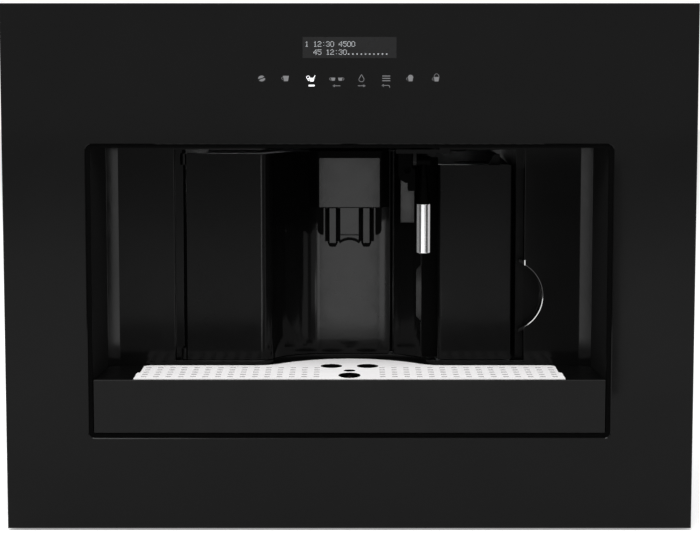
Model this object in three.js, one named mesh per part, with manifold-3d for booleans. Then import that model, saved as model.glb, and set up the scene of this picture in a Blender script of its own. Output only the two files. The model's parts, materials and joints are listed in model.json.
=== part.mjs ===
// Built-in coffee machine: glass front, recessed cup bay, service door with the coffee spout,
// steam wand, water tank, drip tray with a pierced cup grille, and a body that pulls out of its
// cabinet on telescopic runners.
//
// Millimetres. X runs to the right, Y back from the glass face, Z up from the glass's lower edge.
// The whole group is then moved so that the origin is under the middle of the machine.

import * as THREE from 'three';
import { mergeVertices } from 'three/addons/utils/BufferGeometryUtils.js';
import Module from 'manifold-3d';

const wasm = await Module();
wasm.setup();

// ---------------------------------------------------------------- driving dimensions

// Fits
const seat = 0.3; // between pieces that rest on each other
const running = 0.6; // between pieces that slide or turn past each other

// Glass front and its window
const panelWidth = 595;
const panelHeight = 455;
const panelLift = 2; // the glass's lower edge above the cabinet floor
const glassThickness = 5;
const glassEdge = 0.8; // bevel along the glass's edges
const windowWidth = 452;
const windowHeight = 255;
const windowBottom = 80;
const windowCorner = 5;
const frameDepth = 16.7;
const frameInset = 2; // the frame behind the glass is this much smaller all round
const stripProud = 1; // strips at both sides that close against the cabinet's edges
const stripGap = 1.2; // between those strips and the body's sides

// Display and touch sensor behind the glass
const displayWidth = 80;
const displayHeight = 18;
const displayCentreZ = 417.5;
const displaySink = 0.7;
const keyCount = 8;
const keyPitch = 21.1;
const keyCentreZ = 390;
const keyPadSize = 12;
const boardWidth = 288;
const boardHeight = 76;
const boardThickness = 1.6;

// Cup bay
const lipWidth = 3.3; // dark ring between the glass and the bay's walls
const linerWall = 3;
const linerFlange = 14;
const bayDraft = 6; // each side wall leans in by this much over its depth
const cornerAcross = 10; // the bay's rear corners are cut off at a slant
const cornerBack = 5.5;
const fasciaDepth = 72;
const hollowDepth = 106; // the hollow middle of the fascia is this deep
const hollowStraight = 27; // half of the hollow's flat back
const hollowRadius = 46;
const hollowRound = 12.3;
const serviceHalf = 157; // half of the opening that door and tank share
const jambDepth = 13;
const jambWidth = 7.5;
const headroom = 6; // wall left above the service opening
const scoopRadius = 32;
const scoopDepth = 15;
const scoopCentreX = 141.6;
const scoopCentreZ = 194;
const leftScoopRadius = 37;
const leftScoopReach = 11.4; // how far the left scoop bites into the nozzle housing


// Drip tray and cup grille
const trayHeight = 47;
const trayWall = 2.5;
const trayFloor = 3.5;
const trayFrontThickness = 2;
const traySetback = 0.5; // the tray's face behind the glass face
const grilleFront = 3.2;
const grilleFrontHalf = 187.2;
const grilleRearHalf = 184.6;
const grilleStepAt = 34;
const grilleDepth = 68.5;
const grilleHollowDepth = 102.5;
const grilleHollowRadius = 90;
const grilleHollowRound = 30;
const grilleCorner = 6;
const grilleThickness = 2;
const grilleProud = 0.4; // grille face above the tray's rim
const grilleLedge = 5;
const slotPitchX = 10.75;
const slotPitchY = 10.75;
const slotColumns = 15;
const slotRows = 5;
const slotWidth = 4.8;
const slotDepth = 4.2;
const slotStartX = 28.9;
const slotStartY = 14;
const drainRadius = 9.75;
const drainSpread = 16.2;
const drainRearY = 65.5;
const drainFrontY = 20.4;
const drainFrontStretch = 1.33; // the front drain is an oval, longer front to back
const floatHoleRadius = 5.3;
const floatHoleY = 43;
const floatStemRadius = 2;
const floatDiscRadius = 9;
const floatDiscHeight = 7;

// Service door
const doorLeft = -146;
const doorRight = 36.5;
const doorTopGap = 9.7; // below the bay's ceiling
const doorThickness = 10;
const doorSkin = 3;
const doorCoverThickness = 2;
const overTray = 4.7; // door's lower edge above the tray's rim
const hingeOut = 2.5; // hinge axis beyond the door's edge
const hingeBack = 6; // hinge axis behind the door's face
const knuckleRadius = 3.5;
const knuckleHeight = 10;
const hingePinRadius = 1.5;

// Coffee spout
const spoutWidth = 70.8;
const spoutFaceWidth = 56;
const spoutFaceHeight = 44;
const spoutFrontY = 46;
const spoutBackY = 98;
const spoutRound = 7.4;
const spoutBottom = 276.4;
const spoutTop = 326;
const carriageWidth = 56.8;
const carriageFrontY = 52;
const carriageBottom = 251.2;
const nozzleBlockWidth = 45.8;
const nozzleBlockBottom = 244.6;
const nozzleBlockFrontY = 50.5;
const archHalf = 10.7;
const archRise = 4.2;
const nozzleSpread = 14.9;
const nozzleRadius = 4.5;
const nozzleFlat = 3.5; // from a nozzle's middle to its flat front
const nozzleTip = 3.9;
const nozzleBore = 1.8;
const railWidth = 24;
const railBottom = 247;
const spoutStroke = 45;

// Fixed housing between door and tank, with the steam wand
const housingLeft = 40.8;
const housingRight = 65.4;
const channelBack = 86; // depth of the finger channel between housing and tank
const housingBackY = 128;
const housingWall = 3;
const bracketRight = 88.5;
const bracketFrontY = 45;
const bracketHeight = 3.6;
const bracketHookLeft = 79;
const bracketHookHeight = 5.5;
const bracketBottom = 324;
const stopReach = 4; // the stop behind the door's free edge
const connectorLeft = 43.2;
const connectorRight = 60;
const connectorBottom = 297.5;
const connectorFrontY = 52;
const connectorBackY = 64.5;
const connectorNeckBottom = 304;
const connectorSpigot = 7.2;
const platePlaceLeft = 45.5;
const plateWidth = 12.4;
const plateBottom = 260.3;
const plateFrontY = 66;
const wandX = 65.5;
const wandY = 55;
const wandPivotZ = 317;
const wandKnuckleRadius = 4.2;
const wandNeckRadius = 1.4;
const wandConeBottom = 279;
const wandTubeRadius = 5.85;
const wandTubeBottom = 235.2;
const wandBore = 2.2;
const wandPinRadius = 1.6;

// Water tank
const tankLeft = 78.6;
const tankRight = 145.5;
const tankTop = 312;
const tankLength = 178;
const tankWall = 2.2;
const tankFrontThickness = 8;
const tankSideInset = 2.6; // tank body behind its front's edges

const tankLidThickness = 2.4;
const fillLength = 34; // filling hole in the lid
const fillWidth = 20;
const fillFrontY = 98;
const tabLeft = 124.4;
const tabRight = 134.8;
const tabHeight = 9;
const tabSlope = 5.6;
const cradleFloor = 3;
const cradleSide = 2;
const cradleRim = 8;
const valveRadius = 7;
const valveLength = 10;
const valveWall = 2;
const socketRoom = 1; // beyond the valve's end

// Body
const bodyHalf = 272;
const bodyBackY = 406;
const bodyTop = 442.5;
const sheet = 1.2;
const flange = 14;
const baseLip = 16;
const bulkheadX = 151;
const bulkheadThickness = 2;
const partitionX = 69.5;
const deckTop = 132;
const deckThickness = 2.5;
const upperDeckBottom = 334.9;


// Telescopic runners
const runnerX = 205;
const runnerWidth = 40;
const runnerHeight = 25;
const runnerSheet = 1.5;
const runnerFrontY = 30;
const runnerLength = 366;

// Inside: brewing, grinding, water and power
const brewX = -16;
const brewY = 190;
const brewWidth = 92;
const brewLength = 130;
const brewHeight = 92;
const brewBoreRadius = 21;
const brewBarrelRadius = 27;
const brewBarrelHeight = 70;
const pistonHeight = 16;
const groundsWidth = 74;
const groundsLength = 200;
const groundsHeight = 120;
const groundsWall = 2;
const hopperX = -65;
const hopperY = 262;
const hopperWidth = 160;
const hopperLength = 130;
const hopperWall = 2.5;
const hopperWellDepth = 22;
const hopperNeckRadius = 26;
const grinderRadius = 40;
const grinderHeight = 44;
const motorRadius = 29;
const burrRadius = 21;
const burrHeight = 14;
const burrTeeth = 12;
const lidThickness = 2.4;
const lidPinRadius = 1.2;
const earWidth = 5;
const knobRadius = 13;
const knobX = 46;
const chuteY = 152;
const chuteWidth = 62;
const chuteLength = 48;
const chuteWall = 2;
const chuteNeckWidth = 26;
const chuteNeckLength = 22;
const chuteFlange = 3;
const chuteSlope = 34;
const boilerRadius = 38;
const boilerHeight = 118;
const boilerX = -212;
const boilerY = 300;
const pumpX = 232;
const pumpY = 250;
const pumpRadius = 17;
const pumpLength = 90;
const pumpCoilWidth = 42;
const pumpCoilLength = 44;
const pumpFootWidth = 48;
const pumpFootLength = 52;
const pumpFootHeight = 9;
const pumpInlet = 14;
const pumpOutlet = 16;
const powerBoardLength = 150;
const powerBoardHeight = 120;
const standoff = 7;
const inletX = 205;
const inletZ = 60;
const inletWidth = 27;
const inletHeight = 19;
const inletDepth = 24;
const switchZ = 108;
const switchWidth = 15;
const switchHeight = 21;

// ---------------------------------------------------------------- derived places

const windowTop = windowBottom + windowHeight;
const bayBottom = windowBottom + lipWidth;
const bayTop = windowTop - lipWidth;
const bayHalf = windowWidth / 2 - lipWidth;
const frameFrontY = glassThickness + seat;
const frameBackY = frameFrontY + frameDepth;
const flangeHalf = bayHalf + linerWall + linerFlange;
const flangeBottom = bayBottom - linerWall - linerFlange;
const flangeTop = bayTop + linerWall + linerFlange;
const trayBottom = bayBottom + running;
const trayTop = trayBottom + trayHeight;
const grilleTop = trayTop + grilleProud;
const grilleBottom = grilleTop - grilleThickness;
const doorBottom = trayTop + overTray;
const doorTop = bayTop - doorTopGap;
const sillTop = doorBottom - running; // top of the wall behind the tray
const hingeX = doorLeft - hingeOut;
const hingeY = fasciaDepth + hingeBack;
const tankBottom = deckTop + seat + cradleFloor + seat;
const bulkheadInner = bulkheadX - bulkheadThickness / 2;
const bulkheadOuter = bulkheadX + bulkheadThickness / 2;
const innerBackY = bodyBackY - sheet - seat;
const chassisBottom = runnerHeight - panelLift + seat;
const chassisFloor = chassisBottom + sheet;
const innerFrontY = fasciaDepth + jambDepth + seat;
const upperDeckTop = upperDeckBottom + deckThickness;
const grinderTop = upperDeckTop + seat + grinderHeight;
const brewBarrelTop = deckTop + seat + brewHeight + brewBarrelHeight;
const chuteX = brewX; // ground coffee falls straight into the brew unit

// ---------------------------------------------------------------- solids and outlines

/** A closed mesh as a solid that can be joined and cut. */
function solid(geometry) {
  const bare = geometry.clone();
  bare.deleteAttribute('normal');
  bare.deleteAttribute('uv');
  const merged = mergeVertices(bare, 1e-4);
  return new wasm.Manifold(new wasm.Mesh({
    numProp: 3,
    vertProperties: new Float32Array(merged.attributes.position.array),
    triVerts: new Uint32Array(merged.index.array),
  }));
}

/** The surface of a solid as a geometry to draw. */
function surface(body) {
  const { vertProperties, triVerts } = body.getMesh();
  const geometry = new THREE.BufferGeometry();
  geometry.setAttribute('position', new THREE.BufferAttribute(new Float32Array(vertProperties), 3));
  geometry.setIndex(new THREE.BufferAttribute(new Uint32Array(triVerts), 1));
  geometry.computeVertexNormals();
  return geometry;
}

/** A block between two values on each axis. */
function block([x0, x1], [y0, y1], [z0, z1]) {
  const box = new THREE.BoxGeometry(x1 - x0, y1 - y0, z1 - z0);
  return solid(box.translate((x0 + x1) / 2, (y0 + y1) / 2, (z0 + z1) / 2));
}

/** An upright round bar or cone from z0 to z1, with its radius at each end. */
function upright(x, y, [z0, z1], bottomRadius, topRadius = bottomRadius, sides = 20) {
  const bar = new THREE.CylinderGeometry(topRadius, bottomRadius, z1 - z0, sides);
  return solid(bar.rotateX(Math.PI / 2).translate(x, y, (z0 + z1) / 2));
}

/** A round bar lying along Y. */
function barAlongY(x, [y0, y1], z, radius, sides = 24) {
  const bar = new THREE.CylinderGeometry(radius, radius, y1 - y0, sides);
  return solid(bar.translate(x, (y0 + y1) / 2, z));
}

/** A round bar lying along X. */
function barAlongX([x0, x1], y, z, radius, sides = 16) {
  const bar = new THREE.CylinderGeometry(radius, radius, x1 - x0, sides);
  return solid(bar.rotateZ(Math.PI / 2).translate((x0 + x1) / 2, y, z));
}

/** Points of an outline whose corners are [x, y] or, where rounded, [x, y, radius]. */
function rounded(corners, stepsPerCorner = 4) {
  const points = [];
  corners.forEach(([x, y, radius = 0], i) => {
    const corner = new THREE.Vector2(x, y);
    if (!radius) {
      points.push(corner);
      return;
    }
    const [px, py] = corners.at(i - 1);
    const [nx, ny] = corners[(i + 1) % corners.length];
    const before = new THREE.Vector2(px, py).sub(corner).normalize();
    const after = new THREE.Vector2(nx, ny).sub(corner).normalize();
    const half = Math.acos(before.dot(after)) / 2;
    const middle = before.clone().add(after).normalize();
    const centre = corner.clone().addScaledVector(middle, radius / Math.sin(half));
    const start = corner.clone().addScaledVector(before, radius / Math.tan(half)).sub(centre);
    const turn = Math.PI - 2 * half;
    const way = Math.sign(before.cross(after)) * -1;
    for (let step = 0; step <= stepsPerCorner; step += 1) {
      const angle = (way * turn * step) / stepsPerCorner;
      points.push(start.clone().rotateAround(new THREE.Vector2(), angle).add(centre));
    }
  });
  return points;
}

/** A rectangle's corners, all with one radius. */
function rectangle([x0, x1], [y0, y1], radius = 0) {
  return [[x0, y0, radius], [x1, y0, radius], [x1, y1, radius], [x0, y1, radius]];
}

/** An outline seen from above, raised from z0 to z1. */
function raise(points, [z0, z1]) {
  const options = { depth: z1 - z0, bevelEnabled: false };
  return solid(new THREE.ExtrudeGeometry(new THREE.Shape(points), options).translate(0, 0, z0));
}

/** An outline seen from the front, drawn in X and Z, carried from y0 back to y1. */
function carryBack(points, [y0, y1]) {
  const options = { depth: y1 - y0, bevelEnabled: false };
  const geometry = new THREE.ExtrudeGeometry(new THREE.Shape(points), options);
  return solid(geometry.rotateX(Math.PI / 2).translate(0, y1, 0));
}

/** An outline seen from the side, drawn in Y and Z, carried from x0 across to x1. */
function carryAcross(points, [x0, x1]) {
  const options = { depth: x1 - x0, bevelEnabled: false };
  const geometry = new THREE.ExtrudeGeometry(new THREE.Shape(points), options);
  const turn = new THREE.Matrix4().makeBasis(
    new THREE.Vector3(0, 1, 0),
    new THREE.Vector3(0, 0, 1),
    new THREE.Vector3(1, 0, 0),
  );
  return solid(geometry.applyMatrix4(turn).translate(x0, 0, 0));
}

/** A four-sided hopper between two rectangles, each [width, length], at two heights. */
function taperedBox(x, y, [z0, z1], [bottomWidth, bottomLength], [topWidth, topLength]) {
  const box = new THREE.BoxGeometry(1, 1, z1 - z0);
  const position = box.attributes.position;
  for (let i = 0; i < position.count; i += 1) {
    const low = position.getZ(i) < 0;
    position.setX(i, position.getX(i) * (low ? bottomWidth : topWidth));
    position.setY(i, position.getY(i) * (low ? bottomLength : topLength));
  }
  return solid(box.translate(x, y, (z0 + z1) / 2));
}

/** The line of a front seen from above: flat at both sides, with a hollow between two rounds. */
class HollowLine {
  constructor(flat, depth, straight, radius, round) {
    this.flat = flat;
    this.depth = depth;
    this.straight = straight;
    this.radius = radius;
    this.round = round;
    this.centreY = depth - radius;
    this.roundY = flat + round;
    const rise = this.roundY - this.centreY;
    this.roundX = straight + Math.sqrt((radius + round) ** 2 - rise ** 2);
  }

  /** Where the round meets the hollow's arc, on a line moved back by `back`. */
  meetX(back = 0) {
    const share = (this.radius + back) / (this.radius + this.round);
    return this.straight + (this.roundX - this.straight) * share;
  }

  depthAt(x, back = 0) {
    const across = Math.abs(x);
    if (across >= this.roundX) return this.flat + back;
    if (across >= this.meetX(back)) {
      return this.roundY - Math.sqrt((this.round - back) ** 2 - (across - this.roundX) ** 2);
    }
    if (across <= this.straight) return this.depth + back;
    return this.centreY + Math.sqrt((this.radius + back) ** 2 - (across - this.straight) ** 2);
  }

  /** Points from one X to a larger one, closer together where the line bends. */
  points(fromX, toX, back = 0, hollowSteps = 6, roundSteps = 4) {
    const meet = this.meetX(back);
    const start = this.straight;
    const xs = [fromX, toX];
    for (let step = 0; step <= hollowSteps; step += 1) {
      const across = start + (meet - start) * Math.sin((step * Math.PI) / (2 * hollowSteps));
      xs.push(-across, across);
    }
    for (let step = 1; step <= roundSteps; step += 1) {
      const across = meet + (this.roundX - meet) * (1 - Math.cos((step * Math.PI) / (2 * roundSteps)));
      xs.push(-across, across);
    }
    return xs
      .filter((x) => x >= fromX && x <= toX)
      .sort((a, b) => a - b)
      .filter((x, i, all) => i === 0 || x - all[i - 1] > 0.05)
      .map((x) => [x, this.depthAt(x, back)]);
  }
}

const fascia = new HollowLine(
  fasciaDepth, hollowDepth, hollowStraight, hollowRadius, hollowRound,
);
const grilleLine = new HollowLine(
  grilleDepth, grilleHollowDepth, 0, grilleHollowRadius, grilleHollowRound,
);

/** Half the bay's width at a depth: its side walls lean in. */
function bayHalfAt(y) {
  return bayHalf - (bayDraft * y) / fasciaDepth;
}

/** The bay's outline from above, grown by `out` (or shrunk where negative), from a front depth. */
function bayPlan(out, frontY) {
  const cornerY = fasciaDepth - cornerBack;
  const cornerHalf = bayHalfAt(cornerY) + out;
  const rearHalf = bayHalfAt(fasciaDepth) - cornerAcross + out;
  const frontHalf = bayHalfAt(frontY) + out;
  return rounded([
    [-frontHalf, frontY],
    [-cornerHalf, cornerY + out],
    [-rearHalf, fasciaDepth + out],
    ...fascia.points(-fascia.roundX, fascia.roundX, out),
    [rearHalf, fasciaDepth + out],
    [cornerHalf, cornerY + out],
    [frontHalf, frontY],
  ]);
}

/** The cup grille's outline from above, shrunk by `inset`. */
function grillePlan(inset = 0) {
  const front = grilleFrontHalf - inset;
  const rear = grilleRearHalf - inset;
  const rearY = grilleDepth - inset;
  return rounded([
    [-front, grilleFront + inset],
    [-front, grilleStepAt - 2 - inset / 2],
    [-rear, grilleStepAt - inset / 2],
    [-rear, rearY, grilleCorner],
    ...grilleLine.points(-grilleLine.roundX, grilleLine.roundX, -inset, 5, 4),
    [rear, rearY, grilleCorner],
    [rear, grilleStepAt - inset / 2],
    [front, grilleStepAt - 2 - inset / 2],
    [front, grilleFront + inset],
  ]);
}

// ---------------------------------------------------------------- materials

const finish = (color, roughness, metalness = 0) => (
  new THREE.MeshStandardMaterial({ color, roughness, metalness })
);
const blackGlass = finish(0x1e1e1e, 0.3);
const blackGloss = finish(0x161616, 0.25);
const blackSatin = finish(0x262626, 0.5);
const displayGlass = finish(0x2a2a2a, 0.35);
const paleSteel = finish(0xefeeef, 0.35, 0.2);
const chromeSteel = finish(0xe8e8ea, 0.12, 1);
const zincSteel = finish(0xa9abad, 0.42, 1);
const greyPlastic = finish(0x4a4c4e, 0.55);
const smokedPlastic = finish(0x2c2e30, 0.2);
const boardGreen = finish(0x1f5a35, 0.5);
const brass = finish(0xb9975b, 0.35, 1);
const castAluminium = finish(0xa6a8aa, 0.5, 1);
const floatRed = finish(0xb3201c, 0.45);
const burrSteel = finish(0x8b8d8f, 0.3, 1);
const ceramicWhite = finish(0xd9d6cf, 0.6);

const machine = new THREE.Group();

/** Adds one piece of the machine. */
function piece(name, body, material) {
  const mesh = new THREE.Mesh(surface(body), material);
  mesh.name = name;
  machine.add(mesh);
}

// ---------------------------------------------------------------- front

function makeFrontPanel() {
  const half = panelWidth / 2;
  const outer = new THREE.Shape(rounded(rectangle(
    [-half + glassEdge, half - glassEdge],
    [glassEdge, panelHeight - glassEdge],
  )));
  const windowHalf = windowWidth / 2 + glassEdge;
  outer.holes.push(new THREE.Path(rounded(rectangle(
    [-windowHalf, windowHalf],
    [windowBottom - glassEdge, windowTop + glassEdge],
    windowCorner + glassEdge,
  ))));
  const sheetOfGlass = solid(new THREE.ExtrudeGeometry(outer, {
    depth: glassThickness - 2 * glassEdge,
    bevelSize: glassEdge,
    bevelThickness: glassEdge,
    bevelSegments: 1,
  }).rotateX(Math.PI / 2).translate(0, glassThickness - glassEdge, 0));
  const displayRecess = block(
    [-displayWidth / 2 - seat / 2, displayWidth / 2 + seat / 2],
    [-1, displaySink + seat],
    [
      displayCentreZ - (displayHeight + seat) / 2,
      displayCentreZ + (displayHeight + seat) / 2,
    ],
  );
  piece('front_panel', sheetOfGlass.subtract(displayRecess), blackGlass);
  piece('display_window', block(
    [-displayWidth / 2, displayWidth / 2],
    [0.1, displaySink],
    [displayCentreZ - displayHeight / 2, displayCentreZ + displayHeight / 2],
  ), displayGlass);
}

const boardPocket = {
  x: [-boardWidth / 2 - seat, boardWidth / 2 + seat],
  z: [keyCentreZ - 20 - seat, keyCentreZ - 20 + boardHeight + seat],
};

function makePanelFrame() {
  const half = panelWidth / 2 - frameInset;
  const web = 3.4; // plastic left between the glass and the board's pocket
  let frame = block(
    [-half, half],
    [frameFrontY, frameBackY],
    [frameInset, panelHeight - frameInset],
  )
    .subtract(block(
      [-flangeHalf - seat, flangeHalf + seat],
      [0, frameBackY + 1],
      [flangeBottom - seat, flangeTop + seat],
    ))
    .subtract(block(boardPocket.x, [frameFrontY + web, frameBackY + 1], boardPocket.z));
  for (const side of [-1, 1]) {
    const strip = [side * (bodyHalf + stripGap), side * half].sort((a, b) => a - b);
    frame = frame.add(block(strip, [frameBackY - 1, frameBackY + stripProud], [
      frameInset, panelHeight - frameInset,
    ]));
  }
  const keysHalf = (keyCount * keyPitch) / 2;
  const sensorSlot = block(
    [-keysHalf, keysHalf],
    [frameFrontY - 1, frameFrontY + web + 1],
    [keyCentreZ - keyPadSize / 2 - 1, keyCentreZ + keyPadSize / 2 + 1],
  );
  const displaySlot = block(
    [-displayWidth / 2 - 3, displayWidth / 2 + 3],
    [frameFrontY - 1, frameFrontY + web + 1],
    [displayCentreZ - displayHeight / 2 - 2, displayCentreZ + displayHeight / 2 + 2],
  );
  piece('panel_frame', frame.subtract(sensorSlot).subtract(displaySlot), blackSatin);
}

function makeControlBoard() {
  const back = frameFrontY + 3.4 + seat + boardThickness;
  let board = block(
    [boardPocket.x[0] + seat, boardPocket.x[1] - seat],
    [back - boardThickness, back],
    [boardPocket.z[0] + seat, boardPocket.z[1] - seat],
  );
  const displayModule = block(
    [-displayWidth / 2 - 2, displayWidth / 2 + 2],
    [frameFrontY, back - boardThickness / 2],
    [displayCentreZ - displayHeight / 2 - 1, displayCentreZ + displayHeight / 2 + 1],
  );
  const connector = block([100, 128], [back - 0.5, back + 6], [keyCentreZ - 8, keyCentreZ + 2]);
  board = board.add(displayModule).add(connector);
  for (let key = 0; key < keyCount; key += 1) {
    const x = (key - (keyCount - 1) / 2) * keyPitch;
    const pad = barAlongY(x, [frameFrontY, back - boardThickness / 2], keyCentreZ, keyPadSize / 2, 12);
    board = board.add(pad);
  }
  piece('control_board', board, boardGreen);
}

// ---------------------------------------------------------------- cup bay

/** The moulded bay: leaning side walls, ceiling, floor, fixed fascias and the sill behind the tray. */
function makeBayLiner() {
  const wallTop = bayTop + linerWall;
  const wallBottom = bayBottom - linerWall;
  const flangeBack = frameFrontY + linerWall;
  let liner = raise(bayPlan(linerWall, frameFrontY), [wallBottom, wallTop]);
  liner = liner.add(block(
    [-flangeHalf, flangeHalf],
    [frameFrontY, flangeBack],
    [flangeBottom, flangeTop],
  ));
  const reach = hollowDepth + jambDepth;
  for (const side of [-1, 1]) {
    const outerX = serviceHalf + linerWall;
    const innerX = serviceHalf - jambWidth;
    const jambBack = fasciaDepth + jambDepth;
    const jamb = rounded([
      [side * outerX, fasciaDepth + linerWall / 2],
      [side * outerX, jambBack],
      [side * innerX, jambBack],
      [side * innerX, jambBack - linerWall],
      [side * serviceHalf, jambBack - linerWall],
      [side * serviceHalf, fasciaDepth + linerWall / 2],
    ]);
    liner = liner.add(raise(jamb, [sillTop - linerWall, wallTop]));
  }
  liner = liner.subtract(raise(bayPlan(0, 0), [bayBottom, bayTop]));
  liner = liner.subtract(block(
    [-serviceHalf, serviceHalf],
    [fasciaDepth - 5, fasciaDepth + jambDepth - linerWall],
    [sillTop, bayTop - headroom],
  ));
  liner = liner.subtract(block(
    [-serviceHalf + jambWidth, serviceHalf - jambWidth],
    [fasciaDepth - 5, reach],
    [sillTop, bayTop - headroom],
  ));

  // finger scoop beside the tank, in the right fascia
  const scoopBack = fasciaDepth + scoopDepth;
  const cupWall = barAlongY(
    scoopCentreX, [fasciaDepth + 1, scoopBack + linerWall], scoopCentreZ, scoopRadius + linerWall, 32,
  ).intersect(block([bulkheadOuter + seat, bayHalf], [0, bodyBackY], [0, bodyTop]));
  const cupHollow = barAlongY(
    scoopCentreX, [fasciaDepth - 5, scoopBack], scoopCentreZ, scoopRadius, 32,
  ).intersect(block([serviceHalf - jambWidth - 1, bayHalf], [0, bodyBackY], [0, bodyTop]));
  liner = liner.add(cupWall).subtract(cupHollow);

  // boss under the door's lower hinge
  liner = liner.add(block(
    [hingeX - knuckleRadius - 1, hingeX + knuckleRadius + 1],
    [fasciaDepth + linerWall / 2, hingeY + knuckleRadius + 2],
    [sillTop - 12, doorBottom - running],
  ));
  piece('bay_liner', liner, blackGloss);
}

// ---------------------------------------------------------------- drip tray

function makeDripTray() {
  const sideGap = 1.2;
  const bodyFront = traySetback + trayFrontThickness + seat;
  let tray = raise(bayPlan(-sideGap, bodyFront), [trayBottom, trayTop]);
  const recess = grillePlan(-running);
  tray = tray.subtract(raise(recess, [grilleBottom - seat, trayTop + 5]));
  const basin = grillePlan(grilleLedge).map((point) => (
    new THREE.Vector2(point.x, Math.max(point.y, bodyFront + trayWall))
  ));
  tray = tray.subtract(raise(basin, [trayBottom + trayFloor, trayTop]));
  for (const side of [-1, 1]) {
    const nearX = grilleFrontHalf - grilleLedge + trayWall;
    const farX = bayHalfAt(fasciaDepth) - sideGap - cornerAcross;
    const underside = block(
      [Math.min(side * nearX, side * farX), Math.max(side * nearX, side * farX)],
      [bodyFront + trayWall, fasciaDepth - sideGap - trayWall],
      [trayBottom - 1, grilleBottom - seat - trayWall],
    );
    tray = tray.subtract(underside);
  }
  const guideHeight = 14;
  const guide = upright(0, floatHoleY, [trayBottom + 1, trayBottom + guideHeight], floatDiscRadius + 2.5)
    .subtract(upright(
      0, floatHoleY, [trayBottom + trayFloor, trayBottom + guideHeight + 1], floatDiscRadius + running,
    ));
  piece('drip_tray', tray.add(guide), blackSatin);

  const frontHalf = bayHalfAt(0) - sideGap;
  piece('tray_front', carryAcross(rounded([
    [traySetback, trayBottom, 1.5],
    [traySetback + trayFrontThickness, trayBottom],
    [traySetback + trayFrontThickness, trayTop],
    [traySetback, trayTop, 1],
  ], 2), [-frontHalf, frontHalf]), blackSatin);

  const discBottom = trayBottom + trayFloor + seat;
  const floatPiece = upright(0, floatHoleY, [discBottom, discBottom + floatDiscHeight], floatDiscRadius)
    .add(upright(0, floatHoleY, [discBottom + 1, grilleBottom - 3], floatStemRadius, undefined, 12));
  piece('drip_level_float', floatPiece, floatRed);
}

function makeCupGrille() {
  const heights = [grilleBottom, grilleTop];
  const through = [grilleBottom - 1, grilleTop + 1];
  let grille = raise(grillePlan(), heights);
  for (const side of [-1, 1]) {
    for (let column = 0; column < slotColumns; column += 1) {
      for (let row = 0; row < slotRows; row += 1) {
        const x = side * (slotStartX + column * slotPitchX);
        const y = slotStartY + row * slotPitchY;
        grille = grille.subtract(block(
          [x - slotWidth / 2, x + slotWidth / 2],
          [y - slotDepth / 2, y + slotDepth / 2],
          through,
        ));
      }
    }
  }
  const drains = [
    [-drainSpread, drainRearY, 1],
    [drainSpread, drainRearY, 1],
    [0, drainFrontY, drainFrontStretch],
  ];
  for (const [x, y, stretch] of drains) {
    const drain = new THREE.CylinderGeometry(drainRadius, drainRadius, 3 * grilleThickness, 24);
    drain.rotateX(Math.PI / 2).scale(1, stretch, 1).translate(x, y, grilleBottom);
    grille = grille.subtract(solid(drain));
  }
  grille = grille.subtract(upright(0, floatHoleY, through, floatHoleRadius, undefined, 20));
  piece('cup_grille', grille, paleSteel);
}

// ---------------------------------------------------------------- service door and spout

/** A slab that follows the fascia between two X values and two distances behind its face. */
function fasciaSlab([x0, x1], [front, back], heights) {
  const face = fascia.points(x0, x1, front);
  const rear = fascia.points(x0, x1, back).reverse();
  return raise(rounded([...face, ...rear]), heights);
}

function makeServiceDoor() {
  const span = [doorLeft, doorRight];
  const inside = [doorLeft + doorSkin, doorRight - doorSkin];
  const pocketHeights = [doorBottom + doorSkin, doorTop - doorSkin];
  let door = fasciaSlab(span, [0, doorThickness], [doorBottom, doorTop])
    .subtract(fasciaSlab(inside, [doorSkin, doorThickness + 1], pocketHeights));
  const eyeHeights = [
    [doorBottom, doorBottom + knuckleHeight],
    [doorTop - knuckleHeight, doorTop],
  ];
  for (const heights of eyeHeights) {
    const eye = upright(hingeX, hingeY, heights, knuckleRadius)
      .add(block([hingeX, doorLeft + 1], [hingeY - 2, hingeY + 2], heights));
    door = door.add(eye);
  }
  for (const [low, high] of eyeHeights) {
    door = door.subtract(upright(hingeX, hingeY, [low - 1, high + 1], hingePinRadius + seat, undefined, 16));
  }
  piece('service_door', door, blackGloss);

  const coverSpan = [inside[0] + seat, inside[1] - seat];
  const coverHeights = [pocketHeights[0] + seat, pocketHeights[1] - seat];
  const coverFront = doorThickness - doorCoverThickness;
  let cover = fasciaSlab(coverSpan, [coverFront, doorThickness], coverHeights);
  const ribCount = 4;
  for (let rib = 0; rib < ribCount; rib += 1) {
    const z = coverHeights[0] + 20 + (rib * (coverHeights[1] - coverHeights[0] - 40)) / (ribCount - 1);
    cover = cover.add(fasciaSlab(coverSpan, [doorSkin + seat, coverFront + 0.5], [z - 1, z + 1]));
  }
  piece('door_inner_cover', cover, greyPlastic);

  const pinGap = 0.2;
  piece('door_hinge_pin_upper', upright(
    hingeX, hingeY, [doorTop - knuckleHeight + 1, bayTop - pinGap], hingePinRadius, undefined, 16,
  ), zincSteel);
  piece('door_hinge_pin_lower', upright(
    hingeX, hingeY, [doorBottom - running + pinGap, doorBottom + knuckleHeight - 1], hingePinRadius, undefined, 16,
  ), zincSteel);

  // upright rail that the spout slides on
  const railFront = spoutBackY + running - 6;
  const rail = block(
    [-railWidth / 2, railWidth / 2],
    [spoutBackY + running, fascia.depthAt(railWidth / 2) - seat],
    [railBottom, doorTop],
  ).add(block([-railWidth / 4, railWidth / 4], [railFront, spoutBackY + running + 1], [railBottom, doorTop]));
  piece('spout_rail', rail, blackSatin);
}

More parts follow.
